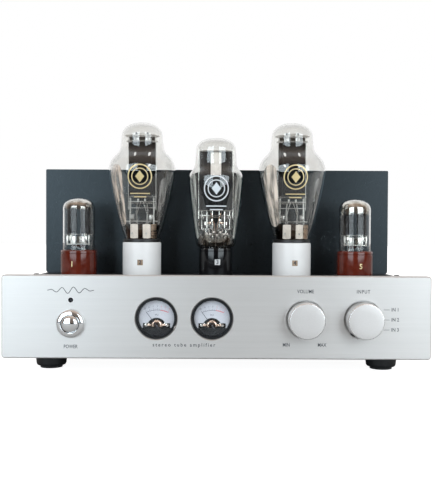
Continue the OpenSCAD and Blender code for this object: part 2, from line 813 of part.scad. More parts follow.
power_profile = concat(
    [[neck4_r, 22], [neck4_r, 31]],
    curve([neck4_r, 32], [15.9, 35], [17.2, 38], [18.6, 41.5], n = 4),
    curve([18.6, 41.5], [21.1, 50], [28, 77], [30, 91.5], n = 5),
    curve([30, 91.5], [30.8, 96], [30.4, 100.5], [28, 104.8]),
    curve([28, 104.8], [25.6, 109], [21.3, 110.6], [20, 115.7]),
    curve([20, 115.7], [19.2, 119], [19.1, 123], [18.8, 127], n = 4),
    curve([18.8, 127], [18.5, 132.8], [13.8, 139.2], [0, 139.2], n = 10),
    [[0, 139.2]]);

rect_profile = concat(
    [[rect_neck_r, 18], [rect_neck_r, 25.4]],
    curve([rect_neck_r, 25.9], [15.9, 26], [17.8, 27.2], [18.5, 31], n = 5),
    curve([18.5, 31], [20.1, 42], [23.9, 72], [24.9, 85], n = 5),
    curve([24.9, 85], [25.4, 90], [24.3, 92.5], [22.4, 95.2]),
    curve([22.4, 95.2], [20.5, 97.8], [19.4, 100], [19, 105]),
    curve([19, 105], [18.7, 109], [18.5, 111], [18.3, 114.5], n = 4),
    curve([18.3, 114.5], [17.9, 121.4], [12.4, 125.3], [0, 125.3], n = 10),
    [[0, 125.3]]);

driver_profile = concat(
    [[driver_neck_r, 14], [driver_neck_r, 36], [driver_neck_r, 60]],
    curve([driver_neck_r, 60.5], [14.2, 67], [8.7, 70.3], [0, 70.3], n = 10),
    [[0, 70.3]]);

power_rods = [for (sx = [-1, 1], y = [-3.4, 3.4]) [sx * 10.8, y, 0.7]];
power_pin_up = 3.9;

module power_glass(p) { color(clear) at_tube(p) shell_of(power_profile, glass_t); }
module power_base(p) { color("white") at_tube(p) base_cup(base4_r, base4_h, neck4_r, 4, pins4); }

module power_pins(p) {
    color("silver") at_tube(p) for (q = pins4) translate([q.x, q.y, 0]) pin(q.z, pin4_len, power_pin_up);
}

// Flat box anode in two flanged halves, with sight holes.
module power_anode(p) {
    z0 = 73.5;
    h = 48;
    color([0.12, 0.12, 0.12]) at_tube(p) difference() {
        union() {
            translate([0, 0, z0]) box(18, 12, h);
            translate([0, 0, z0]) box(24.4, 1.4, h);
        }
        translate([0, 0, z0 - 1]) box(16.4, 10.4, h + 2);
        for (sx = [-1, 1], z = [100.8, 110.7])
            translate([sx * 6.6, -10, z]) rotate([-90, 0, 0]) cylinder(r = 1.75, h = 20);
    }
}

module power_cage(p) {
    color([0.85, 0.85, 0.82]) at_tube(p) {
        rods(power_rods, 48, 71);
        mica(31, 20, 71.6, []);
        mica(27, 18, 66, power_rods);
        mica(34, 26, 122.2, []);
        translate([0, 0, 122.8]) box(12, 5, 4);
        mica(33, 22, 127, []);
        translate([0, 0, 46.6]) box(27, 9, 1.3);
        stem(neck4_r, 26, 46.5, 18);
    }
}

module power_tube_left_glass() { power_glass(four_pin_places[0]); }
module power_tube_left_base() { power_base(four_pin_places[0]); }
module power_tube_left_pins() { power_pins(four_pin_places[0]); }
module power_tube_left_anode() { power_anode(four_pin_places[0]); }
module power_tube_left_cage() { power_cage(four_pin_places[0]); }
module power_tube_right_glass() { power_glass(four_pin_places[1]); }
module power_tube_right_base() { power_base(four_pin_places[1]); }
module power_tube_right_pins() { power_pins(four_pin_places[1]); }
module power_tube_right_anode() { power_anode(four_pin_places[1]); }
module power_tube_right_cage() { power_cage(four_pin_places[1]); }

// Octal base: the cup, with the key post standing below its floor.
module octal_base(r, h, neck_r) {
    base_cup(r, h, neck_r, 4, octal_holes(octal_pin_r));
    translate([0, 0, -12.5]) cylinder(r1 = key_r - 0.8, r2 = key_r, h = 1.5);
    translate([0, 0, -11]) cylinder(r = key_r, h = 11);
}

module octal_pins() {
    for (p = octal_holes(octal_pin_r)) translate([p.x, p.y, 0]) pin(octal_pin_r, octal_pin_len, 3.9);
}

rect_place = octal_places[1];

module rectifier_glass() { color(clear) at_tube(rect_place) shell_of(rect_profile, glass_t); }

module rectifier_base() {
    color([0.05, 0.05, 0.06]) at_tube(rect_place) octal_base(rect_base_r, rect_base_h, rect_neck_r);
}

module rectifier_pins() { color("silver") at_tube(rect_place) octal_pins(); }

module rectifier_anodes() {
    color([0.25, 0.25, 0.26]) at_tube(rect_place) for (s = [-1, 1]) translate([s * 8, 0, 60]) difference() {
        union() {
            box(13, 9, 53);
            box(2, 18, 53);
        }
        translate([0, 0, -1]) box(11.4, 7.4, 55);
    }
}

rect_rods = [for (sx = [-1, 1], x = [3.2, 12.8]) [sx * x, 0, 0.7]];

module rectifier_cage() {
    color([0.85, 0.85, 0.82]) at_tube(rect_place) {
        rods(rect_rods, 43, 59);
        mica(32, 22, 59.3, []);
        mica(32, 24, 113.2, []);
        mica(31, 14, 53.5, rect_rods);
        translate([0, 0, 41.6]) box(28, 7, 1.3);
        stem(rect_neck_r, 22, 41.5, 15);
    }
}

module driver_glass(p) { color(clear) at_tube(p) shell_of(driver_profile, glass_t); }

module driver_base(p) {
    color([0.45, 0.12, 0.06]) at_tube(p) {
        octal_base(driver_base_r, driver_base_h, driver_neck_r);
        octal_pins();
    }
}

driver_rods = [for (sx = [-1, 1], y = [-4.5, 4.5]) [sx * 6, y, 0.6]];

module driver_electrodes(p) {
    color([0.3, 0.3, 0.32]) at_tube(p) {
        for (s = [-1, 1]) translate([s * 6, 0, 37.6]) difference() {
            union() {
                cylinder(r = 4.2, h = 25);
                box(1.2, 15, 25);
            }
            translate([0, 0, -1]) cylinder(r = 3.4, h = 27);
        }
        mica(25.6, 19, 37, driver_rods);
        mica(24.6, 19, 62.7, []);
        rods(driver_rods, 29, 37.5);
        translate([0, 0, 27.9]) box(17, 11.4, 1);
        stem(driver_neck_r, 17, 27.8, 12);
    }
}

module driver_left_glass() { driver_glass(octal_places[0]); }
module driver_left_base() { driver_base(octal_places[0]); }
module driver_left_electrodes() { driver_electrodes(octal_places[0]); }
module driver_right_glass() { driver_glass(octal_places[2]); }
module driver_right_base() { driver_base(octal_places[2]); }
module driver_right_electrodes() { driver_electrodes(octal_places[2]); }

// ---------------------------------------------------------------- nodes

front_panel();
chassis_frame();
top_plate();
bottom_plate();
feet();
foot_pads();
screws();
transformer_cover();
power_transformer();
output_transformer_left();
output_transformer_right();
choke();
circuit_board();
capacitors();
volume_pot();
selector_switch();
power_bezel();
status_led();
meter_housings();
meter_dials();
meter_lenses();
sockets_four_pin();
sockets_octal();
mains_inlet();
input_jacks();
speaker_posts();
volume_knob();
input_knob();
power_button();
left_needle();
right_needle();
fuse_drawer();
post_cap_1();
post_cap_2();
post_cap_3();
post_cap_4();
post_cap_5();
post_cap_6();
power_tube_left_glass();
power_tube_left_base();
power_tube_left_pins();
power_tube_left_anode();
power_tube_left_cage();
power_tube_right_glass();
power_tube_right_base();
power_tube_right_pins();
power_tube_right_anode();
power_tube_right_cage();
rectifier_glass();
rectifier_base();
rectifier_pins();
rectifier_anodes();
rectifier_cage();
driver_left_glass();
driver_left_base();
driver_left_electrodes();
driver_right_glass();
driver_right_base();
driver_right_electrodes();
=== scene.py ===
"""Looks of the stereo tube amplifier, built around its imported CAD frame. Lengths are in millimetres
until a piece is finished, in the row frame: X right, Y to the rear, Z up."""
import math

import bmesh
import bpy
from mathutils import Matrix, Vector


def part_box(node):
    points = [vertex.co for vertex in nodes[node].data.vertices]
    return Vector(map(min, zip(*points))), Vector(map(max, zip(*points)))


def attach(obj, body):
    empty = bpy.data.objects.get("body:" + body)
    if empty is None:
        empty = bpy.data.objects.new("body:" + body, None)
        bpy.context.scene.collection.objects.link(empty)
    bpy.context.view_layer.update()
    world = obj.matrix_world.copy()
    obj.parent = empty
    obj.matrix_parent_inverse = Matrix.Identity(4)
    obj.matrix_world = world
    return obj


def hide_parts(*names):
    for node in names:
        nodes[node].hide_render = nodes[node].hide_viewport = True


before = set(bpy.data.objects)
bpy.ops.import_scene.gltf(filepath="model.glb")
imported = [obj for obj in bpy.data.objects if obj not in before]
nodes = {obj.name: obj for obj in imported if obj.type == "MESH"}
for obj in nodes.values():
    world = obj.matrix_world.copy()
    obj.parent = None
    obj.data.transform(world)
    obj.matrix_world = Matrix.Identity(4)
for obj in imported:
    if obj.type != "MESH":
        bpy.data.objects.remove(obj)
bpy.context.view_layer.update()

MM = 0.001


def corners(node):
    """Lowest and highest corner of a CAD node, in millimetres."""
    low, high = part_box(node)
    return low / MM, high / MM


def middle(node):
    low, high = corners(node)
    return (low + high) / 2


def place_object(name, data):
    made = bpy.data.objects.new(name, data)
    bpy.context.scene.collection.objects.link(made)
    return made


panel_y = corners("front_panel")[0].y
rear_y = corners("chassis_frame")[1].y
seat_z = corners("power_tube_left_base")[0].z


# ---------------------------------------------------------------- shader trees

class ShaderTree:
    """The nodes of a material or of the world."""

    def __init__(self, owner, coordinates):
        owner.use_nodes = True
        self.tree = owner.node_tree
        self.coords = self.node("TexCoord").outputs[coordinates]

    def node(self, kind, **settings):
        made = self.tree.nodes.new("ShaderNode" + kind)
        for key, value in settings.items():
            setattr(made, key, value)
        return made

    def feed(self, socket, value):
        """Links an output to a socket, or sets the socket's constant."""
        if isinstance(value, bpy.types.NodeSocket):
            self.tree.links.new(value, socket)
        elif socket.type == "RGBA":
            socket.default_value = (*value, 1)
        else:
            socket.default_value = value

    def math(self, operation, a, b=0.0):
        made = self.node("Math", operation=operation)
        self.feed(made.inputs[0], a)
        self.feed(made.inputs[1], b)
        return made.outputs[0]

    def plus(self, a, b):
        return self.math("ADD", a, b)

    def times(self, a, b):
        return self.math("MULTIPLY", a, b)

    def axis(self, letter):
        """One of the coordinates. Object coordinates are metres in the row frame."""
        split = self.node("SeparateXYZ")
        self.feed(split.inputs[0], self.coords)
        return split.outputs[letter]

    def noise(self, stretch, detail=3.0):
        """Noise with that many features per unit, one number or one for each axis."""
        scaled = self.node("VectorMath", operation="MULTIPLY")
        self.feed(scaled.inputs[0], self.coords)
        self.feed(scaled.inputs[1], stretch if isinstance(stretch, tuple) else (stretch,) * 3)
        made = self.node("TexNoise")
        self.feed(made.inputs["Vector"], scaled.outputs[0])
        self.feed(made.inputs["Scale"], 1)
        self.feed(made.inputs["Detail"], detail)
        return made.outputs["Fac"]

    def span(self, value, low, high, start=0.0, end=1.0, **settings):
        """value from low to high becomes start to end, and is held there outside."""
        made = self.node("MapRange", **settings)
        for name, given in (("Value", value), ("From Min", low), ("From Max", high),
                            ("To Min", start), ("To Max", end)):
            self.feed(made.inputs[name], given)
        return made.outputs[0]

    def mix(self, factor, first, second):
        made = self.node("Mix", data_type="RGBA")
        for index, given in ((0, factor), (6, first), (7, second)):
            self.feed(made.inputs[index], given)
        return made.outputs[2]


class Finish(ShaderTree):
    """A material under construction: one Principled shader and the nodes that vary it."""

    def __init__(self, name, colour, coordinates="Object", **fixed):
        self.name = name
        self.data = bpy.data.materials.new(name)
        super().__init__(self.data, coordinates)
        self.shader = self.tree.nodes["Principled BSDF"]
        self.set("base_color", colour)
        for key, value in fixed.items():
            self.set(key, value)

    def set(self, name, value):
        """Feeds the shader's socket of that name, such as coat_weight."""
        socket = name.replace("_", " ").title().replace("Ior", "IOR")
        self.feed(self.shader.inputs[socket], value)

    def tone(self, value, low, high, first, second):
        """Base colour from first to second as value goes from low to high."""
        self.set("base_color", self.mix(self.span(value, low, high), first, second))

    def rough(self, noise, start, end):
        self.set("roughness", self.span(noise, 0.3, 0.7, start, end))

    def bump(self, height, depth):
        """Raised by up to depth millimetres where height is 1."""
        made = self.node("Bump")
        self.feed(made.inputs["Strength"], 1.0)
        self.feed(made.inputs["Distance"], depth * MM)
        self.feed(made.inputs["Height"], height)
        self.set("normal", made.outputs[0])

    def let_lamps_through(self, tint):
        """Glass that casts no dark shadow: shadow rays meet a clear shader instead."""
        clear = self.node("BsdfTransparent")
        self.feed(clear.inputs[0], tint)
        mixed = self.node("MixShader")
        self.feed(mixed.inputs[0], self.node("LightPath").outputs["Is Shadow Ray"])
        self.feed(mixed.inputs[1], self.shader.outputs[0])
        self.feed(mixed.inputs[2], clear.outputs[0])
        self.feed(self.tree.nodes["Material Output"].inputs["Surface"], mixed.outputs[0])


def shade(colour, part):
    return tuple(part * c for c in colour)


# ---------------------------------------------------------------- camera, light and floor, in metres

def add_camera():
    """The photograph's view: a little above the front panel, level but for a slight pitch and roll."""
    data = bpy.data.cameras.new("camera")
    data.sensor_width = 36
    data.lens = 55.56
    camera = place_object("camera", data)
    across, distance, height = 0.0007, 0.620, 0.1174
    pitch, roll = math.radians(-1.155), math.radians(0.28)
    camera.matrix_world = (Matrix.Translation((across, panel_y * MM - distance, height))
                           @ Matrix.Rotation(math.pi / 2 + pitch, 4, "X")
                           @ Matrix.Rotation(roll, 4, "Z"))
    bpy.context.scene.camera = camera


def add_softbox(name, x0, x1, colour):
    """A soft light in front of the amplifier, facing it, from x0 to x1."""
    radiance, distance = 4.4, 1.2
    width, height = x1 - x0, 0.9
    data = bpy.data.lights.new(name, "AREA")
    data.shape = "RECTANGLE"
    data.size = width
    data.size_y = height
    data.energy = radiance * math.pi * width * height
    data.color = colour
    light = place_object(name, data)
    light.location = ((x0 + x1) / 2, -distance, height / 2)
    light.rotation_euler = (math.pi / 2, 0, 0)
    light.visible_camera = False


def add_world():
    """White behind the object and beside it, a dark warm studio in front of it, and grey overhead."""
    world = bpy.data.worlds.new("studio")
    bpy.context.scene.world = world
    sky = ShaderTree(world, "Generated")
    soft = {"interpolation_type": "SMOOTHSTEP"}
    upward = sky.span(sky.axis("Z"), 0.3, 0.95, 0.15, 0.5, **soft)
    front = sky.span(sky.axis("Z"), -0.02, 0.02, 0.012, upward, **soft)
    around = sky.span(sky.axis("Y"), -0.3, 0.3, front, 1.0, **soft)
    warmth = sky.span(sky.axis("Y"), -0.3, 0.3, 1.0, 0.0, **soft)
    seen = sky.node("LightPath").outputs["Is Camera Ray"]
    background = sky.tree.nodes["Background"]
    sky.feed(background.inputs["Strength"], sky.span(seen, 0.0, 1.0, around, 1.0))
    sky.feed(background.inputs["Color"], sky.mix(warmth, (1, 1, 1), (1.25, 1.0, 0.85)))


def add_floor():
    """White floor. Its glow is seen by the camera only."""
    front, back, side = -0.6, 6.0, 5.0
    data = bpy.data.meshes.new("floor")
    outline = [(-side, front, 0), (side, front, 0), (side, back, 0), (-side, back, 0)]
    data.from_pydata(outline, [], [(0, 1, 2, 3)])
    white = Finish("white_floor", (1, 1, 1), "Generated", roughness=0.7, emission_color=(1, 1, 1))
    grey = white.span(white.noise(40.0, 2), 0.0, 1.0, 0.46, 0.5)
    white.set("base_color", grey)
    seen = white.node("LightPath").outputs["Is Camera Ray"]
    white.set("emission_strength", white.times(seen, 0.95))
    data.materials.append(white.data)
    place_object("floor", data)


add_camera()
add_softbox("softbox_left", -1.40, -0.26, (0.80, 0.92, 1.0))
add_softbox("softbox_right", 0.356, 1.70, (0.84, 0.94, 1.0))
add_world()
add_floor()
bpy.context.scene.view_settings.view_transform = "Standard"


# ---------------------------------------------------------------- materials

def grained(name, dark, light, grain, rough, depth, **fixed):
    """A plain surface with a fine grain in its colour, its roughness and its relief.
    grain is features per metre, rough the lowest and highest roughness, depth in millimetres."""
    made = Finish(name, light, **fixed)
    fine = made.noise(grain)
    made.tone(made.plus(fine, made.noise(25.0, 2)), 0.7, 1.3, dark, light)
    made.rough(fine, *rough)
    made.bump(fine, depth)
    return made


def brushed_aluminium():
    """Long hairs and broader bands across the panel."""
    made = Finish("brushed_aluminium", (0.5, 0.5, 0.5), metallic=1.0, anisotropic=0.35,
                  anisotropic_rotation=0.25)
    hairs = made.noise((25, 300, 2600), 2)
    bands = made.noise((3, 60, 330))
    both = made.plus(made.times(hairs, 0.5), made.times(bands, 0.5))
    made.tone(both, 0.32, 0.68, (0.618, 0.611, 0.601), (0.672, 0.664, 0.654))
    made.rough(both, 0.44, 0.52)
    made.set("tangent", made.node("Tangent", direction_type="RADIAL", axis="Z").outputs[0])
    made.bump(hairs, 0.004)
    return made


def turned_aluminium(node):
    """Fine turning marks round the axis of a knob, and a brighter cut chamfer."""
    made = Finish("turned_" + node, (0.9, 0.9, 0.9), metallic=1.0)
    low, high = corners(node)
    centre = (low + high) / 2 * MM
    rim = (high.x - low.x) / 2 * MM
    pitch = 0.35 * MM
    across = made.math("SUBTRACT", made.axis("X"), centre.x)
    upward = made.math("SUBTRACT", made.axis("Z"), centre.z)
    square = made.plus(made.times(across, across), made.times(upward, upward))
    radius = made.math("SQRT", square)
    rings = made.math("SINE", made.times(radius, 2 * math.pi / pitch))
    grain = made.noise(2500.0, 2)
    inside = made.span(radius, rim - 0.75 * MM, rim - 0.68 * MM)
    outside = made.span(radius, rim - 0.06 * MM, rim - 0.03 * MM, 1.0, 0.0)
    cut = made.times(inside, outside)
    plain = made.mix(made.span(grain, 0.3, 0.7), (0.63, 0.615, 0.605), (0.7, 0.685, 0.675))
    made.set("base_color", made.mix(cut, plain, (0.92, 0.93, 0.94)))
    dull = made.span(grain, 0.3, 0.7, 0.42, 0.52)
    made.set("roughness", made.math("SUBTRACT", dull, made.times(cut, 0.3)))
    made.bump(made.span(rings, -1, 1), 0.002)
    return made


def polished(name, colour, rough=(0.25, 0.4)):
    """Plated metal with faint wiping marks."""
    made = Finish(name, colour, metallic=1.0)
    smear = made.noise(60.0)
    wipe = made.times(made.noise((90, 90, 900)), smear)
    made.set("roughness", made.span(wipe, 0.15, 0.4, *rough))
    made.tone(smear, 0.35, 0.65, shade(colour, 0.93), colour)
    return made


def clear_glass(name, tint, wave=0.01, ior=1.5):
    """Clear glass, with the slow waves of blown glass up to wave millimetres deep."""
    made = Finish(name, tint, roughness=0.0, ior=ior, transmission_weight=1.0)
    thick = made.noise((70, 70, 25), 1)
    made.tone(thick, 0.3, 0.7, shade(tint, 0.985), tint)
    if wave:
        made.bump(thick, wave)
    made.let_lamps_through(tuple(0.5 + 0.5 * c for c in tint))
    return made


def mica_sheet():
    """Thin flakes that let part of the light through."""
    made = Finish("mica", (0.66, 0.61, 0.54))
    flakes = made.noise(350.0)
    made.tone(flakes, 0.3, 0.7, (0.46, 0.4, 0.33), (0.7, 0.65, 0.58))
    made.set("alpha", made.span(flakes, 0.3, 0.7, 0.35, 0.6))
    made.rough(flakes, 0.12, 0.3)
    made.bump(flakes, 0.02)
    return made


def getter_flash(name, full, clear, plain, burnt, dense=0.97):
    """Mirror film on the inside of the glass, dense at one height over the seat and gone at another.
    It is plain metal with burnt patches, and its edge wanders."""
    made = Finish(name, plain, metallic=1.0)
    patches = made.noise((160, 160, 60), 4)
    wander = 2.2 * MM
    edge = made.times(made.span(patches, 0.3, 0.7, -1.0, 1.0), wander)
    height = made.plus(made.axis("Z"), edge)
    made.set("alpha", made.span(height, (seat_z + full) * MM, (seat_z + clear) * MM, dense, 0.0))
    made.rough(made.noise(300.0), 0.04, 0.14)
    made.tone(patches, 0.42, 0.6, plain, burnt)
    return made


def getter_haze(name, colour, thin, thick):
    """Streaky film down the side of a bulb."""
    made = Finish(name, colour)
    streaks = made.noise((260, 260, 9), 2)
    made.set("alpha", made.span(streaks, 0.38, 0.6, thin, thick))
    made.rough(streaks, 0.35, 0.22)
    made.tone(streaks, 0.4, 0.6, shade(colour, 0.45), colour)
    return made


def laminations():
    """Stacked sheets seen from their edges, under varnish."""
    made = Finish("laminations", (0.08, 0.07, 0.06), metallic=0.7)
    pitch = 0.7 * MM
    sheets = made.math("SINE", made.times(made.axis("Y"), 2 * math.pi / pitch))
    varnish = made.noise(150.0)
    made.set("base_color", made.mix(varnish, (0.05, 0.042, 0.035), (0.2, 0.17, 0.12)))
    made.rough(varnish, 0.35, 0.6)
    made.bump(made.span(sheets, -1, 1), 0.05)
    return made


def circuit_green():
    """Solder mask with copper runs under it, and pale parts that stand on the board."""
    made = Finish("circuit_green", (0.02, 0.14, 0.06), coat_weight=0.6, coat_roughness=0.15)
    runs = made.node("TexBrick")
    made.feed(runs.inputs["Vector"], made.coords)
    made.feed(runs.inputs["Scale"], 60)
    made.feed(runs.inputs["Mortar Size"], 0.06)
    body = made.mix(runs.outputs["Fac"], (0.02, 0.12, 0.05), (0.05, 0.24, 0.1))
    level, top = middle("circuit_board").z - 1, corners("circuit_board")[1].z
    above = made.span(made.axis("Z"), level * MM, top * MM)
    made.tone(above, 0.45, 0.5, body, (0.5, 0.42, 0.3))
    made.rough(made.noise(500.0), 0.3, 0.5)
    return made


def capacitor_sleeve():
    """Shrink sleeve in dark blue with a pale stripe, round a bright can."""
    made = Finish("capacitor_sleeve", (0.02, 0.03, 0.12), coat_weight=0.3, coat_roughness=0.2)
    top = corners("capacitors")[1].z
    stripe = made.span(made.noise((40, 2, 4), 0), 0.55, 0.57)
    sleeve = made.mix(stripe, (0.015, 0.025, 0.11), (0.5, 0.52, 0.58))
    can = made.span(made.axis("Z"), (top - 0.6) * MM, (top - 0.4) * MM)
    made.set("base_color", made.mix(can, sleeve, (0.75, 0.76, 0.78)))
    made.set("metallic", made.times(can, 0.9))
    made.rough(made.noise(400.0), 0.3, 0.42)
    return made


def printed_dial():
    """Matt paper with a fine fibre."""
    made = Finish("printed_dial", (0.66, 0.75, 0.85), specular_ior_level=0.3)
    fibre = made.noise(1800.0)
    made.tone(fibre, 0.3, 0.7, (0.42, 0.415, 0.44), (0.475, 0.465, 0.49))
    made.rough(fibre, 0.6, 0.75)
    made.bump(fibre, 0.01)
    return made


# Plain surfaces: name, dark and light colour, grain per metre, roughness, relief, other sockets.
GRAINED = [
    ("cover_paint", (0.003, 0.0032, 0.0036), (0.005, 0.0053, 0.006), 900.0, (0.27, 0.35), 0.012,
     {"specular_tint": (0.74, 0.9, 1.0), "specular_ior_level": 0.44}),
    ("black_powder_coat", (0.008, 0.008, 0.009), (0.017, 0.017, 0.019), 1400.0, (0.42, 0.6), 0.05, {}),
    ("foot_rubber", (0.006, 0.006, 0.007), (0.014, 0.014, 0.015), 1100.0, (0.45, 0.62), 0.03, {}),
    ("foot_pad", (0.01, 0.01, 0.01), (0.03, 0.03, 0.032), 2200.0, (0.85, 0.95), 0.12,
     {"sheen_weight": 0.4}),
    ("black_oxide", (0.008, 0.008, 0.009), (0.022, 0.022, 0.023), 900.0, (0.4, 0.55), 0.01,
     {"specular_ior_level": 0.25}),
    ("meter_plastic", (0.005, 0.0055, 0.0065), (0.01, 0.011, 0.013), 1200.0, (0.3, 0.42), 0.01,
     {"specular_ior_level": 0.3}),
    ("smoked_lens", (0.01, 0.01, 0.012), (0.03, 0.03, 0.036), 600.0, (0.08, 0.14), 0.004,
     {"coat_weight": 1.0}),
    ("white_porcelain", (0.86, 0.845, 0.83), (0.9, 0.885, 0.87), 120.0, (0.3, 0.4), 0.01,
     {"specular_ior_level": 0.35}),
    # Black ring where a power tube's glass meets its base.
    ("collar_black", (0.004, 0.004, 0.004), (0.014, 0.013, 0.012), 1500.0, (0.3, 0.5), 0.05, {}),
    ("socket_ceramic", (0.66, 0.63, 0.56), (0.76, 0.73, 0.66), 700.0, (0.4, 0.55), 0.02, {}),
    ("black_bakelite", (0.004, 0.004, 0.005), (0.008, 0.008, 0.009), 500.0, (0.07, 0.12), 0.004, {}),
    ("brown_bakelite", (0.085, 0.0115, 0.0055), (0.15, 0.021, 0.01), 260.0, (0.08, 0.14), 0.004, {}),
    ("graphite_anode", (0.003, 0.003, 0.003), (0.006, 0.006, 0.006), 1500.0, (0.45, 0.6), 0.03,
     {"specular_ior_level": 0.1}),
    ("carbonised_anode", (0.012, 0.012, 0.013), (0.03, 0.03, 0.031), 900.0, (0.35, 0.5), 0.02,
     {"metallic": 0.5}),
    ("tan_label", (0.3, 0.2, 0.13), (0.42, 0.3, 0.2), 1200.0, (0.4, 0.55), 0.004, {}),
    ("getter_holder", (0.6, 0.52, 0.47), (0.8, 0.72, 0.66), 500.0, (0.3, 0.45), 0.02, {}),
    # Cream plates in the power tubes: their pale colour is a painted reflection of the two softboxes on the
    # brown getter band.
    ("skirt", (0.56, 0.47, 0.4), (0.84, 0.74, 0.66), (260.0, 260.0, 40.0), (0.3, 0.45), 0.02, {}),
    ("hub", (0.012, 0.006, 0.004), (0.03, 0.014, 0.009), 900.0, (0.4, 0.55), 0.01,
     {"specular_ior_level": 0.2}),
    ("black_plastic", (0.012, 0.012, 0.012), (0.024, 0.024, 0.025), 800.0, (0.3, 0.45), 0.015, {}),
    ("red_cap", (0.22, 0.01, 0.008), (0.34, 0.02, 0.014), 500.0, (0.18, 0.3), 0.01, {"coat_weight": 0.4}),
    ("black_cap", (0.01, 0.01, 0.01), (0.022, 0.022, 0.022), 500.0, (0.18, 0.3), 0.01, {"coat_weight": 0.4}),
    ("grey_ink", (0.03, 0.033, 0.042), (0.07, 0.075, 0.09), 2500.0, (0.5, 0.65), 0.002,
     {"specular_ior_level": 0.2}),
    ("black_ink", (0.02, 0.02, 0.028), (0.05, 0.05, 0.06), 2500.0, (0.4, 0.55), 0.002, {}),
    ("red_ink", (0.5, 0.06, 0.07), (0.66, 0.12, 0.12), 2500.0, (0.5, 0.65), 0.002, {}),
    ("white_ink", (0.6, 0.6, 0.6), (0.75, 0.75, 0.75), 2500.0, (0.45, 0.6), 0.002, {}),
    ("gold_print", (0.55, 0.42, 0.2), (0.8, 0.66, 0.38), 1600.0, (0.3, 0.45), 0.004, {"metallic": 0.5}),
    ("silver_print", (0.55, 0.57, 0.6), (0.76, 0.78, 0.8), 1600.0, (0.35, 0.5), 0.004, {}),
    ("oxidised_wire", (0.02, 0.016, 0.013), (0.06, 0.048, 0.04), 900.0, (0.3, 0.5), 0.02,
     {"metallic": 0.6}),
]
MATERIALS = {made.name: made.data for made in [
    *[grained(*row[:-1], **row[-1]) for row in GRAINED],
    brushed_aluminium(),
    turned_aluminium("volume_knob"),
    turned_aluminium("input_knob"),
    polished("chrome", (0.86, 0.875, 0.885), (0.03, 0.09)),
    polished("nickel_wire", (0.78, 0.76, 0.72), (0.12, 0.25)),
    polished("tinned_pins", (0.75, 0.75, 0.74), (0.2, 0.35)),
    polished("gold_plate", (0.95, 0.7, 0.3), (0.1, 0.22)),
    polished("copper_bracket", (0.8, 0.6, 0.48), (0.2, 0.36)),
    polished("bright_wire", (0.66, 0.64, 0.6)),
    polished("cage_wire", (0.5, 0.48, 0.45)),
    polished("skirt_end", (0.9, 0.68, 0.52)),
    polished("zinc_can", (0.7, 0.7, 0.68)),
    printed_dial(),
    mica_sheet(),
    circuit_green(),
    capacitor_sleeve(),
    laminations(),
    clear_glass("meter_window", (0.985, 0.99, 0.995), 0.0, 1.25),
    clear_glass("tube_glass", (0.9, 0.9, 0.885)),
    clear_glass("small_tube_glass", (0.92, 0.92, 0.91), ior=1.3),
    clear_glass("stem_glass", (0.9, 0.9, 0.88), 0.05),
    getter_flash("power_tube_getter", 46, 47.6, (0.1, 0.07, 0.05), (0.05, 0.026, 0.014)),
    getter_flash("rectifier_getter", 33, 39, (0.34, 0.31, 0.26), (0.12, 0.08, 0.05), 0.6),
    getter_flash("left_driver_getter", 66, 60, (0.8, 0.78, 0.73), (0.42, 0.39, 0.35)),
    getter_flash("right_driver_getter", 64, 56, (0.86, 0.85, 0.8), (0.5, 0.47, 0.42)),
    getter_haze("left_power_haze", (0.72, 0.58, 0.49), 0.08, 0.85),
    getter_haze("right_power_haze", (0.9, 0.76, 0.66), 0.45, 0.98),
    getter_haze("faint_haze", (0.5, 0.47, 0.45), 0.02, 0.3),
    getter_haze("silver_haze", (0.7, 0.68, 0.63), 0.1, 0.7),
]}


# ---------------------------------------------------------------- meshes

def bezier(a, b, c, d, steps=12):
    """Points of a cubic curve from a to d, with b and c as its handles; the last point is left out."""
    points = []
    for i in range(steps):
        t = i / steps
        weights = ((1 - t) ** 3, 3 * (1 - t) ** 2 * t, 3 * (1 - t) * t * t, t ** 3)
        points.append(tuple(sum(w * p[k] for w, p in zip(weights, (a, b, c, d))) for k in (0, 1)))
    return points


def arc(radius, start, end, steps, centre=(0, 0)):
    """Points on a circle, from the start angle to the end angle in degrees."""
    turns = [math.radians(start + (end - start) * i / steps) for i in range(steps + 1)]
    return [(centre[0] + radius * math.cos(t), centre[1] + radius * math.sin(t)) for t in turns]


def circle(radius, count, start=0.0):
    return arc(radius, start, start + 360, count)[:-1]


def inset(profile, t):
    """A turned profile moved inwards by t: walls in, and the crown down."""
    moved = []
    for i, (r, z) in enumerate(profile[:-1]):
        before, after = profile[max(i - 1, 0)], profile[i + 1]
        along = (Vector(after) - Vector(before)).normalized()
        moved.append((max(r - t * along.y, 0.0), z + t * along.x))
    return moved + [(0.0, profile[-1][1] - t)]


def radius_at(profile, z):
    """Radius of a turned profile at a height."""
    for (r0, z0), (r1, z1) in zip(profile, profile[1:]):
        if z0 <= z <= z1 and z1 > z0:
            return r0 + (r1 - r0) * (z - z0) / (z1 - z0)
    return profile[0][0]


def directions(points):
    """Each point of a line with the way it runs there."""
    points = [Vector(p) for p in points]
    after, before = points[1:] + points[-1:], points[:1] + points[:-1]
    return [(p, (b - a).normalized()) for p, a, b in zip(points, before, after)]


def helix(radius, x, y, low, high, turns):
    steps = 12
    count = int(turns * steps)
    rise = (high - low) / count
    ring = circle(radius, steps)
    return [(x + ring[i % steps][0], y + ring[i % steps][1], low + rise * i) for i in range(count + 1)]


def smooth(mesh, angle):
    mesh.shade_smooth()
    mesh.set_sharp_from_angle(angle=math.radians(angle))


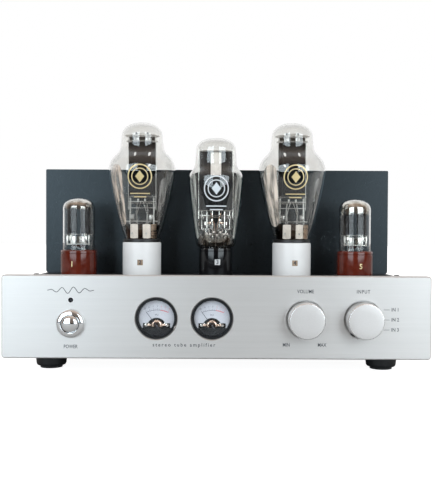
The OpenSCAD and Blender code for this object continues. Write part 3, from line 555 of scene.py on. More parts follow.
class Shape:
    """One piece under construction, in millimetres, in the place that a matrix gives."""

    def __init__(self, place):
        self.mesh = bmesh.new()
        self.place = place

    def skin(self, rings, closed=False, capped=False):
        """Joins rings of points with faces. A ring of one point makes a fan."""
        made = [[self.mesh.verts.new(p) for p in ring] for ring in rings]
        pairs = list(zip(made, made[1:])) + ([(made[-1], made[0])] if closed else [])
        for a, b in pairs:
            count = max(len(a), len(b))
            for i in range(count):
                j = (i + 1) % count
                corner = [a[i % len(a)], a[j % len(a)], b[j % len(b)], b[i % len(b)]]
                corner = list(dict.fromkeys(corner))
                if len(corner) > 2:
                    self.mesh.faces.new(corner)
        if capped:
            self.mesh.faces.new(made[0])
            self.mesh.faces.new(made[-1])

    def lathe(self, profile, steps, at=(0, 0), closed=False):
        """Turns (radius, height) points about an upright axis."""
        rings = []
        for r, z in profile:
            ring = circle(r, steps) if r > 1e-5 else [(0, 0)]
            rings.append([(at[0] + x, at[1] + y, z) for x, y in ring])
        self.skin(rings, closed)

    def block(self, size, at, bevel, turn=0.0):
        """A box with rounded edges, centred on at in x and y, standing on it in z."""
        place = (Matrix.Translation((at[0], at[1], at[2] + size[2] / 2))
                 @ Matrix.Rotation(math.radians(turn), 4, "Z") @ Matrix.Diagonal((*size, 1)))
        made = bmesh.ops.create_cube(self.mesh, size=1, matrix=place)
        edges = list({e for v in made["verts"] for e in v.link_edges})
        bmesh.ops.bevel(self.mesh, geom=edges, offset=bevel, segments=2, profile=0.5, affect="EDGES")

    def rod(self, radius, *points, sides=None):
        """A round wire along points, with ten sides when it is straight and eight when it is bent."""
        aside = Vector((0.31, 0.87, 0.37))
        turns = circle(radius, sides or (10 if len(points) == 2 else 8))
        rings = []
        for p, along in directions(points):
            side = along.cross(aside).normalized()
            other = along.cross(side)
            rings.append([p + x * side + y * other for x, y in turns])
        self.skin(rings, capped=True)

    def coil(self, wire, radius, x, y, low, high, turns):
        self.rod(wire, *helix(radius, x, y, low, high, turns), sides=6)

    def both_sides(self, rods=(), blocks=(), coils=()):
        """Makes rods, blocks and coils as they are given, and again with x turned to the other side."""
        for side in (-1, 1):
            for radius, *points in rods:
                self.rod(radius, *[(side * x, y, z) for x, y, z in points])
            for size, (x, y, z), bevel, *turn in blocks:
                self.block(size, (side * x, y, z), bevel, side * sum(turn))
            for wire, radius, x, *rest in coils:
                self.coil(wire, radius, side * x, *rest)

    def plate(self, outline, z0, z1):
        """An outline in x and y, extruded from z0 to z1."""
        self.skin([[(x, y, z0) for x, y in outline], [(x, y, z1) for x, y in outline]], capped=True)

    def patch(self, x, y, half_width, half_height, steps, low, high):
        """A flat rectangle from low to high in z, cut across in steps so that it can be wrapped."""
        bottom, top = y - half_height, y + half_height
        across = [x + half_width * (2 * i / steps - 1) for i in range(steps + 1)]
        self.skin([[(a, bottom, low), (a, top, low), (a, top, high), (a, bottom, high)] for a in across],
                  capped=True)

    def ribbon(self, points, width, height):
        """A thin raised line along points in x and y."""
        rings = []
        for p, along in directions(points):
            side = Vector((-along.y, along.x)) * width / 2
            a, b = p + side, p - side
            rings.append([(a.x, a.y, 0), (a.x, a.y, height), (b.x, b.y, height), (b.x, b.y, 0)])
        self.skin(rings, capped=True)

    def words(self, text, size, at, squeeze=1.0, align="CENTER", depth=0.02, spacing=1.0, bold=0.0):
        """Raised lettering that reads along x with y up."""
        curve = bpy.data.curves.new("words", "FONT")
        settings = {"body": text, "size": size, "align_x": align, "align_y": "CENTER", "extrude": depth,
                    "resolution_u": 3, "space_character": spacing, "offset": bold}
        for key, value in settings.items():
            setattr(curve, key, value)
        holder = place_object("words", curve)
        graph = bpy.context.evaluated_depsgraph_get()
        mesh = bpy.data.meshes.new_from_object(holder.evaluated_get(graph))
        mesh.transform(Matrix.Translation(at) @ Matrix.Diagonal((squeeze, 1, 1, 1)))
        self.mesh.from_mesh(mesh)
        bpy.data.objects.remove(holder)
        bpy.data.curves.remove(curve)
        bpy.data.meshes.remove(mesh)

    def wrap(self, radius):
        """Bends a flat drawing (x, y, z out) round the upright axis, facing the front.
        radius gives the radius of the surface under it at each height."""
        for v in self.mesh.verts:
            under = radius(v.co.y)
            turn = v.co.x / max(under, 1)
            reach = under + v.co.z
            v.co = (reach * math.sin(turn), -reach * math.cos(turn), v.co.y)

    def done(self, name, material, slot, body, replaces=(), angle=35):
        """Makes the piece. Edges sharper than angle degrees stay sharp."""
        bmesh.ops.remove_doubles(self.mesh, verts=self.mesh.verts, dist=1e-5)
        bmesh.ops.recalc_face_normals(self.mesh, faces=self.mesh.faces)
        self.mesh.transform(Matrix.Scale(MM, 4) @ self.place)
        data = bpy.data.meshes.new(name)
        self.mesh.to_mesh(data)
        self.mesh.free()
        smooth(data, angle)
        data.materials.append(MATERIALS[material])
        piece = place_object(name, data)
        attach(piece, body)
        if replaces:
            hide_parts(*replaces)


def on_front(x, z, out=0.0):
    """x right, y up and z out of the front panel's face."""
    return Matrix.Translation((x, panel_y - out, z)) @ Matrix.Rotation(math.pi / 2, 4, "X")


def on_rear(x, z, out=0.0):
    """x to the viewer's right, y up and z out of the rear wall."""
    turn = Matrix.Rotation(math.pi, 4, "Z") @ Matrix.Rotation(math.pi / 2, 4, "X")
    return Matrix.Translation((x, rear_y + out, z)) @ turn


# ---------------------------------------------------------------- CAD nodes that stay

KEPT = {
    "brushed_aluminium": "front_panel",
    "black_powder_coat": "chassis_frame top_plate bottom_plate",
    "foot_rubber": "feet",
    "foot_pad": "foot_pads",
    "black_oxide": "screws",
    "cover_paint": "transformer_cover",
    "laminations": "power_transformer output_transformer_left output_transformer_right choke",
    "circuit_green": "circuit_board",
    "capacitor_sleeve": "capacitors",
    "zinc_can": "volume_pot selector_switch",
    "smoked_lens": "status_led",
    "meter_plastic": "meter_housings",
    "printed_dial": "meter_dials",
    "meter_window": "meter_lenses",
    "socket_ceramic": "sockets_four_pin sockets_octal",
    "black_plastic": "mains_inlet fuse_drawer",
    "gold_plate": "input_jacks speaker_posts",
    "black_ink": "left_needle right_needle",
    "tinned_pins": "power_tube_left_pins power_tube_right_pins rectifier_pins",
    "graphite_anode": "power_tube_left_anode power_tube_right_anode",
    "carbonised_anode": "rectifier_anodes",
    "red_cap": "post_cap_1 post_cap_4",
    "black_cap": "post_cap_2 post_cap_3 post_cap_5 post_cap_6",
}


def dress_kept_nodes():
    """Materials and smooth faces for the CAD nodes that are seen as they are, and the cover's soft edge."""
    for material, names in KEPT.items():
        for name in names.split():
            mesh = nodes[name].data
            mesh.materials.clear()
            mesh.materials.append(MATERIALS[material])
            smooth(mesh, 32)
    edge = nodes["transformer_cover"].modifiers.new("edge", "BEVEL")
    edge.width = 0.6 * MM
    edge.segments = 3
    edge.limit_method = "ANGLE"
    edge.angle_limit = math.radians(40)


dress_kept_nodes()


# ---------------------------------------------------------------- front controls

def knob(name):
    """Turned knob with a small chamfer, a bored back and its steel shaft."""
    low, high = corners(name)
    axis, radius = (low + high) / 2, (high.x - low.x) / 2
    out, tail = panel_y - low.y, panel_y - high.y
    back, edge, soft, lip = -2.5, 0.7, 0.25, 0.4
    shaft, bore, gap, cap = 3.0, 6.0, 0.05, 5.0
    place = on_front(axis.x, axis.z)
    turned = Shape(place)
    rim = arc(soft, 0, 45, 3, (radius - soft, out - edge)) + arc(soft, 45, 90, 3, (radius - edge, out - soft))
    turned.lathe([(bore, back + 2), (bore, back), (radius - lip, back), (radius, back + lip), *rim,
                  (radius * 0.5, out), (0, out)], 128)
    turned.lathe([(bore, back + 2), (shaft + gap, back + 2), (shaft + gap, out - cap), (0, out - cap)], 64)
    turned.done(name + "_turned", "turned_" + name, "knob", name + "_body", [name], 30)
    rod = Shape(place)
    rod.lathe([(0, tail), (shaft - 0.3, tail), (shaft, tail + 0.3), (shaft, out - cap - 0.2),
               (0, out - cap - 0.2)], 48)
    rod.done(name + "_shaft", "zinc_can", "knob", name + "_body")
    sideways = Matrix.Translation((shaft + 0.1, 0, back + 6)) @ Matrix.Rotation(math.pi / 2, 4, "Y")
    grub = Shape(place @ sideways)
    length, thread, drive, drive_depth = 6, 1.4, 0.75, 1.5
    grub.lathe([(0, 0), (thread - 0.5, 0), (thread, 0.5), (thread, length), (drive, length),
                (drive, length - drive_depth), (0, length - drive_depth)], 24)
    grub.done(name + "_grub_screw", "black_oxide", "screw", name + "_body")


def power_switch():
    """Chromed bezel with its barrel and nut, and the domed button in it."""
    axis = middle("power_button")
    bezel_tail = panel_y - corners("power_bezel")[1].y
    button_low, button_high = corners("power_button")
    radius = (button_high.x - button_low.x) / 2
    button_out, button_tail = panel_y - button_low.y, panel_y - button_high.y
    bore, barrel, flange, well = 7.5, 9.4, 11.8, -14
    bezel = Shape(on_front(axis.x, axis.z))
    ring = bezier((flange, 0.4), (flange, 2.6), (10.4, 3.8), (7.9, 4.1), 20)
    bezel.lathe([(bore, well), (barrel, well), (barrel, 0), (flange, 0), *ring, (7.9, 4.1), (bore, 3.8)],
                128, closed=True)
    bezel.lathe([(0, bezel_tail), (barrel - 0.5, bezel_tail), (barrel, bezel_tail + 0.5),
                 (barrel, well - 0.05), (0, well - 0.05)], 64)
    nut, nut_back, nut_front = 13, -13.4, -9.6
    bezel.lathe([(barrel + 0.05, nut_back), (nut, nut_back), (nut, nut_front), (barrel + 0.05, nut_front)],
                6, closed=True)
    bezel.done("power_bezel_chromed", "chrome", "bezel", "chassis", ["power_bezel"], 30)
    button = Shape(on_front(axis.x, axis.z))
    dome = bezier((radius, 3.0), (7.2, 5.2), (4.2, button_out), (0, button_out), 24)
    button.lathe([(0, button_tail), (radius, button_tail), *dome, (0, button_out)], 128)
    button.done("power_button_chromed", "chrome", "button", "power_button_body", ["power_button"], 40)


def panel_print():
    """Control names and marks on the front panel."""
    volume, selector, button = middle("volume_knob"), middle("input_knob"), middle("power_button")
    meters = corners("meter_lenses")
    tall, thin, bold = 4.1, 0.8, 0.045
    over, under = 22.7, 20.8
    shape = Shape(on_front(0, 0, 0.02))
    for text, x, z, spacing in (
            ("VOLUME", volume.x, volume.z + over, 1.1),
            ("INPUT", selector.x, selector.z + over, 1.25),
            ("MIN", volume.x - 15.5, volume.z - under, 1.0),
            ("MAX", volume.x + 13.6, volume.z - under, 1.0),
            ("POWER", button.x, button.z - 19, 1.0)):
        shape.words(text, tall, (x, z, 0), thin, spacing=spacing, bold=bold)
    for i in range(3):
        z = selector.z + 8.2 * (1 - i)
        shape.words(f"IN {i + 1}", tall, (selector.x + 22.8, z, 0), 0.86, align="LEFT", bold=bold)
        shape.patch(selector.x + 19, z, 2.4, 0.15, 1, -0.02, 0.02)
    shape.words("stereo tube amplifier", tall, ((meters[0].x + meters[1].x) / 2, volume.z - 21.2, 0),
                spacing=1.4, bold=bold)
    shape.done("panel_lettering", "grey_ink", "panel", "chassis")
    wave = Shape(on_front(button.x, button.z + 27))
    half_length, height, waves, steps = 19, 2.6, 4, 96
    line = []
    for i in range(steps + 1):
        t = i / steps
        swell = height * math.sin(math.pi * t)
        line.append((half_length * (2 * t - 1), swell * math.sin(2 * math.pi * waves * t)))
    wave.ribbon(line, 0.55, 0.03)
    wave.done("panel_wave_mark", "black_ink", "panel", "chassis")


knob("volume_knob")
knob("input_knob")
power_switch()
panel_print()


# ---------------------------------------------------------------- meters

def meter_print(side, face):
    """The dial's scale, black up to the red part."""
    bow, bow_x, peak = 21.3, 0.6, 6.45
    left, right, red = -8.3, 9.5, 3.2
    marks = ("20", "10", "7", "5", "3", "0", "3")
    ticks = 2 * len(marks) - 2
    smooth_steps = 24

    def point(x):
        return (x, peak - bow + math.sqrt(bow ** 2 - (x - bow_x) ** 2))

    def stretch(start, end):
        return [point(start + (end - start) * i / smooth_steps) for i in range(smooth_steps + 1)]

    black, warm = Shape(face), Shape(face)
    black.ribbon(stretch(left, red), 0.28, 0.02)
    warm.ribbon(stretch(red, right), 0.5, 0.02)
    for i in range(ticks + 1):
        x, y = point(left + (right - left) * i / ticks)
        lean = (x - bow_x) / bow
        reach = 0.8 if i % 2 else 1.5
        target = black if x < red else warm
        target.ribbon([(x, y), (x + lean * reach, y + reach)], 0.2, 0.02)
        if i % 2 == 0:
            target.words(marks[i // 2], 1.9, (x + lean * 3, y + 3, 0.01), 0.85, depth=0.01)
    black.words("VU", 2.2, (0, 2.5, 0.01), depth=0.01)
    black.done(side + "_meter_scale", "black_ink", "dial", "chassis")
    warm.done(side + "_meter_red_scale", "red_ink", "dial", "chassis")


def meter_movement(side, place):
    """What shows under the dial: a frame plate, a copper bracket, the needle's bearing and two studs."""
    floor = -8.6
    wide, foot, spindle = 10.6, -5, 0.7
    frame_plate = Shape(place)
    slot = [(spindle, foot), *arc(spindle, 0, 180, 12), (-spindle, foot)]
    frame_plate.plate(arc(wide, 180, 0, 40) + [(wide, foot)] + slot + [(-wide, foot)], -9.4, -8.8)
    frame_plate.done(side + "_meter_frame", "meter_plastic", "meter_black", "chassis")

    bracket = Shape(place)
    for start, end in ((205, 112), (68, -25)):
        rings = []
        for (x, y), inner in zip(arc(4.9, start, end, 16), arc(1.9, start, end, 16)):
            rings.append([(x, y, floor), (x, y, -6.8), (0.86 * x, 0.86 * y, -5.8),
                          (0.65 * x, 0.65 * y, -5.4), (*inner, -6.2), (*inner, floor)])
        bracket.skin(rings, capped=True)
    bridge = zip(arc(4.3, 112, 68, 8), arc(2.2, 112, 68, 8))
    bracket.skin([[(*a, floor), (*a, -7.4), (*b, -7.4), (*b, floor)] for a, b in bridge], capped=True)
    bracket.both_sides(blocks=[((2.6, 1.6, 2.4), (6.0, 0.1, floor), 0.25)])
    bracket.done(side + "_meter_bracket", "copper_bracket", "meter_black", "chassis")

    hub = Shape(place)
    hub.lathe([(0.62, floor), (1.7, floor), (1.7, -5.2), (1.3, -4.8), (0.62, -4.8)], 24, closed=True)
    hub.done(side + "_meter_bearing", "hub", "meter_black", "chassis")

    studs = Shape(place)
    head = [(0, -8.8), (1.7, -8.8), (1.7, -6.9), (1.3, -6.3), (0.5, -6.2), (0.5, -6.6), (0, -6.6)]
    for x in (-8.6, 8.6):
        studs.lathe(head, 20, (x, 0.2))
    studs.both_sides(blocks=[((2.0, 1.0, 1.2), (6.9, 1.4, -8.7), 0.2, 25)])
    studs.done(side + "_meter_studs", "nickel_wire", "meter_black", "chassis")


def add_meters():
    pivot_drop = 6.1
    dial_out = panel_y - corners("meter_dials")[0].y
    low, high = corners("meter_lenses")
    radius = (high.z - low.z) / 2
    z = low.z + radius
    for side, x in (("left", low.x + radius), ("right", high.x - radius)):
        meter_print(side, on_front(x, z, dial_out))
        meter_movement(side, on_front(x, z - pivot_drop))


add_meters()


# ---------------------------------------------------------------- tubes, with heights over their seats

GLASS_WALL = 1.0
FILM_INSET = 1.06


def spline(start, *legs):
    """Points of joined curves. Each leg has its two handles, its end and its number of steps."""
    points = []
    for b, c, end, steps in legs:
        points += bezier(start, b, c, end, steps)
        start = end
    return points + [start]


POWER_BULB = [(15.5, 22), (15.5, 31), *spline(
    (15.5, 32),
    ((15.9, 35), (17.2, 38), (18.6, 41.5), 8),
    ((21.1, 50), (28, 77), (30, 91.5), 14),
    ((30.8, 96), (30.4, 100.5), (28, 104.8), 12),
    ((25.6, 109), (21.3, 110.6), (20, 115.7), 12),
    ((19.2, 119), (19.1, 123), (18.8, 127), 8),
    ((18.5, 132.8), (13.8, 139.2), (0, 139.2), 20))]
RECTIFIER_BULB = [(13.9, 18), (13.9, 25.4), *spline(
    (13.9, 25.9),
    ((15.9, 26), (17.8, 27.2), (18.5, 31), 8),
    ((20.1, 42), (23.9, 72), (24.9, 85), 14),
    ((25.4, 90), (24.3, 92.5), (22.4, 95.2), 12),
    ((20.5, 97.8), (19.4, 100), (19, 105), 12),
    ((18.7, 109), (18.5, 111), (18.3, 114.5), 8),
    ((17.9, 121.4), (12.4, 125.3), (0, 125.3), 20))]
DRIVER_BULB = [(14.3, 14), (14.3, 36), (14.3, 60), *spline(
    (14.3, 60.5), ((14.2, 67), (8.7, 70.3), (0, 70.3), 22))]


class Tube:
    """One plug-in tube. Its body has its name, and its shapes stand on its seat."""

    def __init__(self, name):
        axis = middle(name + "_base")
        self.name = name
        self.place = Matrix.Translation((axis.x, axis.y, seat_z))

    def shape(self):
        return Shape(self.place)

    def add(self, shape, part, material, slot, node="", angle=35):
        """Makes a piece. It stands for the tube's CAD node of that name, where there is one."""
        replaces = [f"{self.name}_{node}"] if node else ()
        shape.done(f"{self.name}_{part}", material, slot, self.name, replaces, angle)

    def bulb(self, profile, material):
        shape = self.shape()
        shape.lathe(profile[::-1] + inset(profile, GLASS_WALL), 128)
        self.add(shape, "bulb", material, "tube_glass", "glass", 60)

    def flash(self, wall, material):
        """Getter film that follows a wall of (radius, height) points."""
        shape = self.shape()
        shape.lathe(wall + [(max(r - 0.04, 0), z) for r, z in wall][::-1], 96, closed=True)
        self.add(shape, "getter_flash", material, "tube_glass", angle=60)

    def sheet(self, part, wall, low, high, start, end, material, power=8, thick=0.04, slot="tube_glass"):
        """Sheet that follows a wall between two heights, and between two angles round from the front.
        Each angle is given at the low and the high end. The ends are rounder for a lower power."""
        rows, columns = 36, 14
        rings = []
        for i in range(rows + 1):
            t = i / rows
            z = low + (high - low) * t
            left, right = (a[0] * (1 - t) + a[1] * t for a in (start, end))
            half = (right - left) / 2 * math.sqrt(max(1 - abs(2 * t - 1) ** power, 0.02))
            turns = [math.radians((left + right) / 2 + half * (2 * j / columns - 1))
                     for j in range(columns + 1)]
            outer = radius_at(wall, z)
            front, back = ([(r * math.sin(a), -r * math.cos(a), z) for a in turns]
                           for r in (outer, outer - thick))
            rings.append(front + back[::-1])
        shape = self.shape()
        shape.skin(rings, capped=True)
        self.add(shape, part, material, slot, angle=60)

    def base(self, radius, height, neck, material, slot, octal=False):
        """Base: rounded foot and rim, with the glass's socket inside. An octal one has a key and a groove."""
        foot, rim, depth, key = 0.8, 1.1, 0.3, 3.95
        groove = [(radius, height - 3.4), (radius - depth, height - 3.1),
                  (radius - depth, height - 2.8), (radius, height - 2.5)]
        shape = self.shape()
        shape.lathe([(0, 0), (radius - foot, 0), *arc(foot, -90, 0, 5, (radius - foot, foot)),
                     *(groove if octal else []), *arc(rim, 0, 90, 7, (radius - rim, height - rim)),
                     (neck + 0.4, height), (neck + 0.05, height - 0.4), (neck + 0.05, 4), (0, 4)], 128)
        if octal:
            shape.lathe([(0, -12.5), (key - 0.9, -12.5), (key, -11.3), (key, 0.2), (0, 0.2)], 48)
        self.add(shape, "base_moulded", material, slot, "base")

    def number(self, digit, radius, x, z, ink, size=5.2):
        """Printed position number."""
        shape = self.shape()
        shape.words(digit, size, (x, z, 0.09), 0.95, bold=0.1)
        shape.wrap(lambda height: radius)
        self.add(shape, "position_number", ink, "panel")

    def sticker(self, digit, radius, x, z, paper):
        """Small square label with a position number."""
        half = 2.5
        label = self.shape()
        label.patch(x, z, half, half, 6, 0.02, 0.07)
        label.wrap(lambda height: radius)
        self.add(label, "position_label", paper, "panel")
        self.number(digit, radius, x, z, "black_ink")

    def badge(self, profile, x, z, radius, material):
        """Plain printed mark: two rings round a diamond, and two bars under them."""
        low, high = 0.02, 0.06
        shape = self.shape()
        for inner, outer in ((0.9, 1.0), (0.6, 0.68)):
            section = ((inner, low), (outer, low), (outer, high), (inner, high))
            shape.skin([[(x + part * a, z + part * b, level) for part, level in section]
                        for a, b in circle(radius, 72)], closed=True)
        half = radius * 0.36
        tall = half * 1.3
        shape.plate([(x - half, z), (x, z - tall), (x + half, z), (x, z + tall)], low, high)
        for drop, reach in ((1.35, 0.8), (1.62, 0.5)):
            shape.patch(x, z - radius * drop, radius * reach, 0.5, 12, low, high)
        shape.wrap(lambda height: radius_at(profile, height))
        self.add(shape, "printed_mark", material, "tube_glass")

    def micas(self, *discs):
        """Mica discs of (width, depth, height), with flattened sides and small teeth round their ends."""
        count, teeth, tooth, thick = 120, 36, 0.018, 0.3
        shape = self.shape()
        for wide, deep, z in discs:
            outline = []
            for i, (c, s) in enumerate(circle(1, count)):
                r = wide / 2 * (1 - tooth * (1 + math.cos(teeth * 2 * math.pi * i / count)))
                outline.append((r * c, max(-deep / 2, min(deep / 2, r * s))))
            shape.plate(outline, z, z + thick)
        self.add(shape, "micas", "mica", "cage")

    def stem(self, low, flare, press_low, press_w):
        """Flared glass foot with a hollow neck, under its flattened press."""
        height = press_low - low
        neck, bend, wall = press_w * 0.33, press_w * 0.36, 1
        shape = self.shape()
        curve = bezier((flare, low + 0.8), (flare * 0.72, low + 2), (bend, low + height * 0.3),
                       (press_w * 0.34, low + height * 0.62), 10)
        shape.lathe([(flare, low), *curve, (neck, low + height * 0.62), (neck - wall, low + height * 0.6),
                     (bend - wall, low + height * 0.3), (flare - 1.6, low + 1.2), (flare - wall, low)],
                    64, closed=True)
        shape.block((press_w, 4.2, height * 0.42), (0, 0, low + height * 0.58), 1.2)
        self.add(shape, "stem", "stem_glass", "tube_glass", angle=50)


def power_tube(side, digit, label_x):
    """Directly heated triode: white base, black collar, bulb, black anode in its cage, and stem."""
    tube = Tube("power_tube_" + side)
    tube.bulb(POWER_BULB, "tube_glass")
    tube.base(17.5, 30.5, 15.5, "white_porcelain", "ceramic_base")
    # Black ring round the foot of the glass, on top of the base.
    collar = tube.shape()
    collar.lathe([(15.6, 30.5), (17, 30.5), *arc(0.6, 0, 90, 4, (16.4, 32.8)), (15.6, 33.4)], 96, closed=True)
    tube.add(collar, "black_collar", "collar_black", "rectifier_base")
    tube.flash([(14.2, 33.6), (14.6, 38), (15.3, 43), (16.0, 47.6)], "power_tube_getter")
    # The left and right cream plates are a painted reflection: they stand in for the softbox reflections on
    # the getter band. The end piece on the right is polished metal.
    skirt = [(14.7, 33.0), (15.2, 38), (15.9, 43), (16.6, 48)]
    for part, start, end, material in (("skirt_left", (-38, -33), (-8.5, -7.5), "skirt"),
                                       ("skirt_right", (8.5, 7.5), (37, 32.5), "skirt"),
                                       ("skirt_end", (39, 35), (66, 56), "skirt_end")):
        tube.sheet(part, skirt, 34, 47, start, end, material, power=40, thick=0.25, slot="cage")
    wall = inset(POWER_BULB, FILM_INSET)
    tube.sheet("left_film", wall, 45, 100, (-78, -62), (-37, -31), side + "_power_haze")
    tube.sheet("right_film", wall, 46, 88, (44, 40), (62, 58), "faint_haze")
    tube.sticker(digit, 17.5, label_x, 12.4, "tan_label")
    tube.badge(POWER_BULB, 0.7, 88.5, 11, "gold_print")

    wires = tube.shape()
    wires.both_sides(
        rods=[(0.32, (12.6, 0, 60), (12.6, 0, 128.4)),
              *[(0.36, (10.8, y, 47), (10.8, y, 71)) for y in (-3.4, 3.4)],
              *[(0.26, (5.2, y, 47), (5.2, y, 58), (4.4, y, 66)) for y in (-3.4, 3.4)],
              (0.35, (4, -1.5, 47), (4.6, -1.2, 56), (2.6, -0.6, 63), (0.8, 0, 68)),
              (0.5, (6.4, 0.6, 36), (7.4, 0.4, 42), (10.8, 0, 47)),
              (0.45, (2.4, 0, 36), (2.6, 0, 46), (4, -1.5, 47.5))],
        blocks=[((3.4, 0.4, 4), (8.7, -3.9, 51), 0.12), ((1.6, 0.5, 3.2), (3.2, -4.2, 66.8), 0.12)],
        coils=[(0.2, 1.1, 5.5, 0, 122.9, 127.4, 5), (0.28, 1.3, 8.2, -1.5, 48.4, 56, 8)])
    for x in (-7.6, 5.2):
        wires.block((1.4, 0.3, 1.6), (x, -15.6, 37.6), 0.1)
    for y in (-2.6, 2.6):
        wires.block((28, 1.6, 0.8), (0, y, 49.2), 0.25)
    for z in (61.4, 67.2):
        wires.block((25, 0.8, 0.6), (0, -4.6, z), 0.15)
    wires.rod(0.4, (-9, 0, 127.6), (-4, 0, 129.6), (4, 0, 129.6), (9, 0, 127.6))
    tube.add(wires, "supports", "cage_wire", "cage", "cage")

    tube.micas((28, 18, 71.9), (27, 18, 65.9), (29, 19, 122.1), (32, 22, 127.1))
    springs = tube.shape()
    springs.block((6, 3.6, 3.6), (0, 0, 122.8), 0.4)
    springs.both_sides(blocks=[((4.4, 3.6, 3.6), (9.5, 0, 122.8), 0.4),
                               ((1.6, 1.2, 2.4), (5.2, -2.2, 128), 0.2)])
    tube.add(springs, "spring_bar", "oxidised_wire", "cage")
    tube.stem(24.5, 13.6, 45.5, 17)


def rectifier():
    """Double-diode rectifier: black octal base, two anodes side by side, and a flat getter plate."""
    tube = Tube("rectifier")
    tube.bulb(RECTIFIER_BULB, "tube_glass")
    tube.base(15.4, 25.8, 13.9, "black_bakelite", "rectifier_base", octal=True)
    tube.flash([(13.0, 26.6), *bezier((14.2, 27), (16.4, 28), (16.9, 31), (17.3, 39.5))],
               "rectifier_getter")
    wall = inset(RECTIFIER_BULB, FILM_INSET)
    tube.sheet("left_film", wall, 34, 94, (-72, -72), (-50, -48), "silver_haze")
    tube.sheet("right_film", wall, 34, 94, (50, 46), (72, 72), "silver_haze")
    tube.sticker("3", 15.4, 1.8, 12.9, "white_ink")
    tube.badge(RECTIFIER_BULB, 0.5, 78.5, 11.5, "silver_print")

    wires = tube.shape()
    wires.both_sides(
        rods=[*[(0.45, (x, 0, 42), (x, 0, 60)) for x in (3.2, 12.8)],
              (0.4, (8, -4, 44), (8, -4, 59)),
              (0.4, (15.6, 0, 52), (15.6, 0, 115)),
              (0.5, (5, 0, 30), (6, 0, 37), (12.8, 0, 42.5)),
              (0.45, (2, 0, 30), (2.2, 0, 37), (3.2, 0, 43))],
        blocks=[((4.2, 0.5, 4), (8, -3.2, 45.2), 0.15), ((2.2, 0.5, 2.6), (12.4, -3.4, 52), 0.15),
                ((1.8, 1.2, 3), (3.4, -3.6, 49), 0.2, 18)],
        coils=[(0.28, 1.5, 8, 0, 50, 58, 6)])
    for low_x, high_x in ((10.4, 10.8), (5.6, 5.2), (-10.4, -10.8), (-5.6, -5.2)):
        wires.rod(0.3, (low_x, -3.6, 41), (high_x, -3.8, 59), sides=8)
    for y in (-2.4, 2.4):
        wires.block((27, 1.4, 0.8), (0, y, 42.2), 0.25)
    wires.block((29, 0.7, 0.6), (0, -5, 54.8), 0.15)
    tube.add(wires, "supports", "nickel_wire", "cage", "cage")

    bits, pale = tube.shape(), tube.shape()
    for i in range(15):
        turn = -84 + 12 * i
        reach, low = 12.6 + 0.9 * math.sin(3.1 * i), 29.4 + 2.2 * math.sin(2.3 * i + 1)
        size = (1.5 + 0.5 * math.sin(1.7 * i), 0.6, 5.4 + 2.4 * math.sin(4.7 * i))
        spot = (reach * math.sin(math.radians(turn)), -reach * math.cos(math.radians(turn)), low)
        target = pale if i % 3 == 1 else bits
        target.block(size, spot, 0.15, turn)
    for i in range(7):
        x = -9 + 3 * i
        bits.rod(0.36, (x * 0.5, -4, 31), (x * 0.9, -7.5, 35 + math.sin(2.9 * i)), (x, -5.5, 41.6))
        spot = (x + 1.2, -8.2, 37.6 + 1.6 * math.sin(3.7 * i))
        pale.block((1.7, 0.8, 1.9), spot, 0.3, 30 * math.sin(5.3 * i))
    tube.add(bits, "getter_wires", "nickel_wire", "cage")
    tube.add(pale, "insulators", "getter_holder", "cage")

    leads = tube.shape()
    leads.both_sides(rods=[(0.45, (1.2, -2, 41), (1.6, -3.4, 46), (2.8, -3.4, 52), (4.4, -2.4, 57))],
                     blocks=[((2.6, 0.8, 2.2), (5.4, -4.2, 47), 0.2, 25)])
    tube.add(leads, "filament_leads", "copper_bracket", "cage")
    ribs = tube.shape()
    ribs.both_sides(blocks=[((0.7, 0.5, 52.6), (2.2 + 2.9 * i, -4.6, 60.2), 0.15) for i in range(5)])
    tube.add(ribs, "anode_ribs", "carbonised_anode", "grey_anode")
    plate = tube.shape()
    plate.block((9.6, 0.8, 20.5), (0, -6.8, 91.5), 0.3)
    plate.block((1.4, 3.2, 1.4), (0, -5.2, 109.6), 0.3)
    tube.add(plate, "getter_plate", "getter_holder", "cage")
    tube.micas((30, 20, 59.3), (31, 23, 113.3), (30, 14, 53.5))
    tube.stem(19.5, 12.2, 40.5, 14.5)


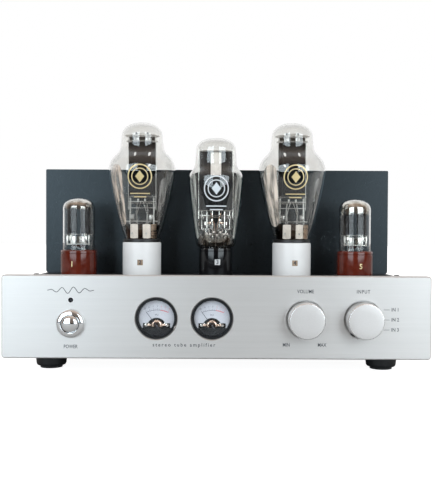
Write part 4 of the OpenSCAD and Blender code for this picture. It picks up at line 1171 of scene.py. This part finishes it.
def driver(side, digit, digit_x, digit_z, flash_low):
    """Double triode: red-brown octal base, straight bulb with a silvered dome, two round anodes."""
    tube = Tube("driver_" + side)
    tube.bulb(DRIVER_BULB, "small_tube_glass")
    tube.base(16, 23.2, 14.3, "brown_bakelite", "driver_base", octal=True)
    tube.number(digit, 16, digit_x, digit_z, "gold_print", 6.5)
    dome = [(r, z) for r, z in inset(DRIVER_BULB, FILM_INSET) if z >= 60.4 and r > 1]
    tube.flash([(13.2, flash_low), *dome], side + "_driver_getter")

    pins = tube.shape()
    pin_r, pin_circle_r = 1.18, 8.73
    for spot in circle(pin_circle_r, 8, 22.5):
        pins.lathe([(0, -12), (0.7, -11.9), (pin_r, -11), (pin_r, 3.9), (0, 3.9)], 20, spot)
    tube.add(pins, "pins", "tinned_pins", "pin")

    anodes = tube.shape()
    for x in (-6, 6):
        anodes.lathe([(4.2, 38), (4.2, 62), (3.7, 62), (3.7, 38)], 40, (x, 0), closed=True)
        anodes.block((0.9, 14.5, 24), (x, 0, 38), 0.2)
        for z in (44, 50, 56):
            anodes.lathe([(4.1, z - 0.5), (4.55, z), (4.1, z + 0.5)], 40, (x, 0), closed=True)
    tube.add(anodes, "anodes", "carbonised_anode", "grey_anode", "electrodes")

    wires = tube.shape()
    wires.both_sides(
        rods=[*[(0.45, (6, y, 28), (6, y, 64.4)) for y in (-4.5, 4.5)],
              (0.5, (2, 0, 26), (3.4, -2, 31), (6, 0, 36.8)),
              (0.45, (5, 0, 25), (6.5, -3, 29.5), (7, -2, 36.8))],
        blocks=[((1.5, 0.5, 9), (9.6, -3.4, 27.6), 0.15), ((3.6, 0.5, 7.5), (3.6, -5.6, 28.2), 0.15, 12),
                ((2.2, 0.5, 4.4), (7.2, -5, 31.6), 0.15, -16)])
    wires.coil(0.4, 1.6, 0.6, -4.6, 29, 35.6, 5)
    for y in (-4.6, 4.6):
        wires.block((17, 1.6, 0.8), (0, y, 28), 0.25)
    ring_r, ring_z = 3.4, 65.2
    wires.rod(0.45, *[(x, y, ring_z) for x, y in arc(ring_r, 0, 360, 24)])
    wires.rod(0.3, (0, 0, 63.2), (0, -2, 64.4), (0, -ring_r, ring_z))
    tube.add(wires, "supports", "bright_wire", "cage")
    tube.micas((25, 19, 37), (24.4, 19, 62.7))
    tube.stem(15.5, 12.4, 27.5, 12)


power_tube("left", "2", 0.0)
power_tube("right", "4", 1.5)
rectifier()
driver("left", "1", -3.3, 10.6, 58.5)
driver("right", "5", 3.0, 9.6, 55.5)


# ---------------------------------------------------------------- rear lettering

def rear_print():
    """Names of the rear connectors."""
    tall, side_tall, under, margin = 4.5, 4.2, 5, 6
    shape = Shape(on_rear(0, 0, 0.02))

    def write(text, x, z, size=tall):
        shape.words(text, size, (-x, z, 0))

    posts = [middle(f"post_cap_{i}") for i in range(1, 7)]
    for name, post in zip("048840", posts):
        write(name, post.x, post.z - 12.5)
    write("RIGHT SPEAKER", (posts[0].x + posts[2].x) / 2, posts[0].z + 14)
    write("LEFT SPEAKER", (posts[3].x + posts[5].x) / 2, posts[3].z + 14)
    low, high = corners("input_jacks")
    for i in range(3):
        write(str(i + 1), low.x + margin + (high.x - low.x - 2 * margin) * i / 2, low.z - under)
    write("INPUT", (low.x + high.x) / 2, high.z + under)
    write("L", high.x + under, high.z - margin, side_tall)
    write("R", high.x + under, low.z + margin, side_tall)
    write("AC IN", middle("mains_inlet").x, corners("mains_inlet")[0].z - under)
    shape.done("rear_lettering", "white_ink", "chassis_paint", "chassis")


rear_print()
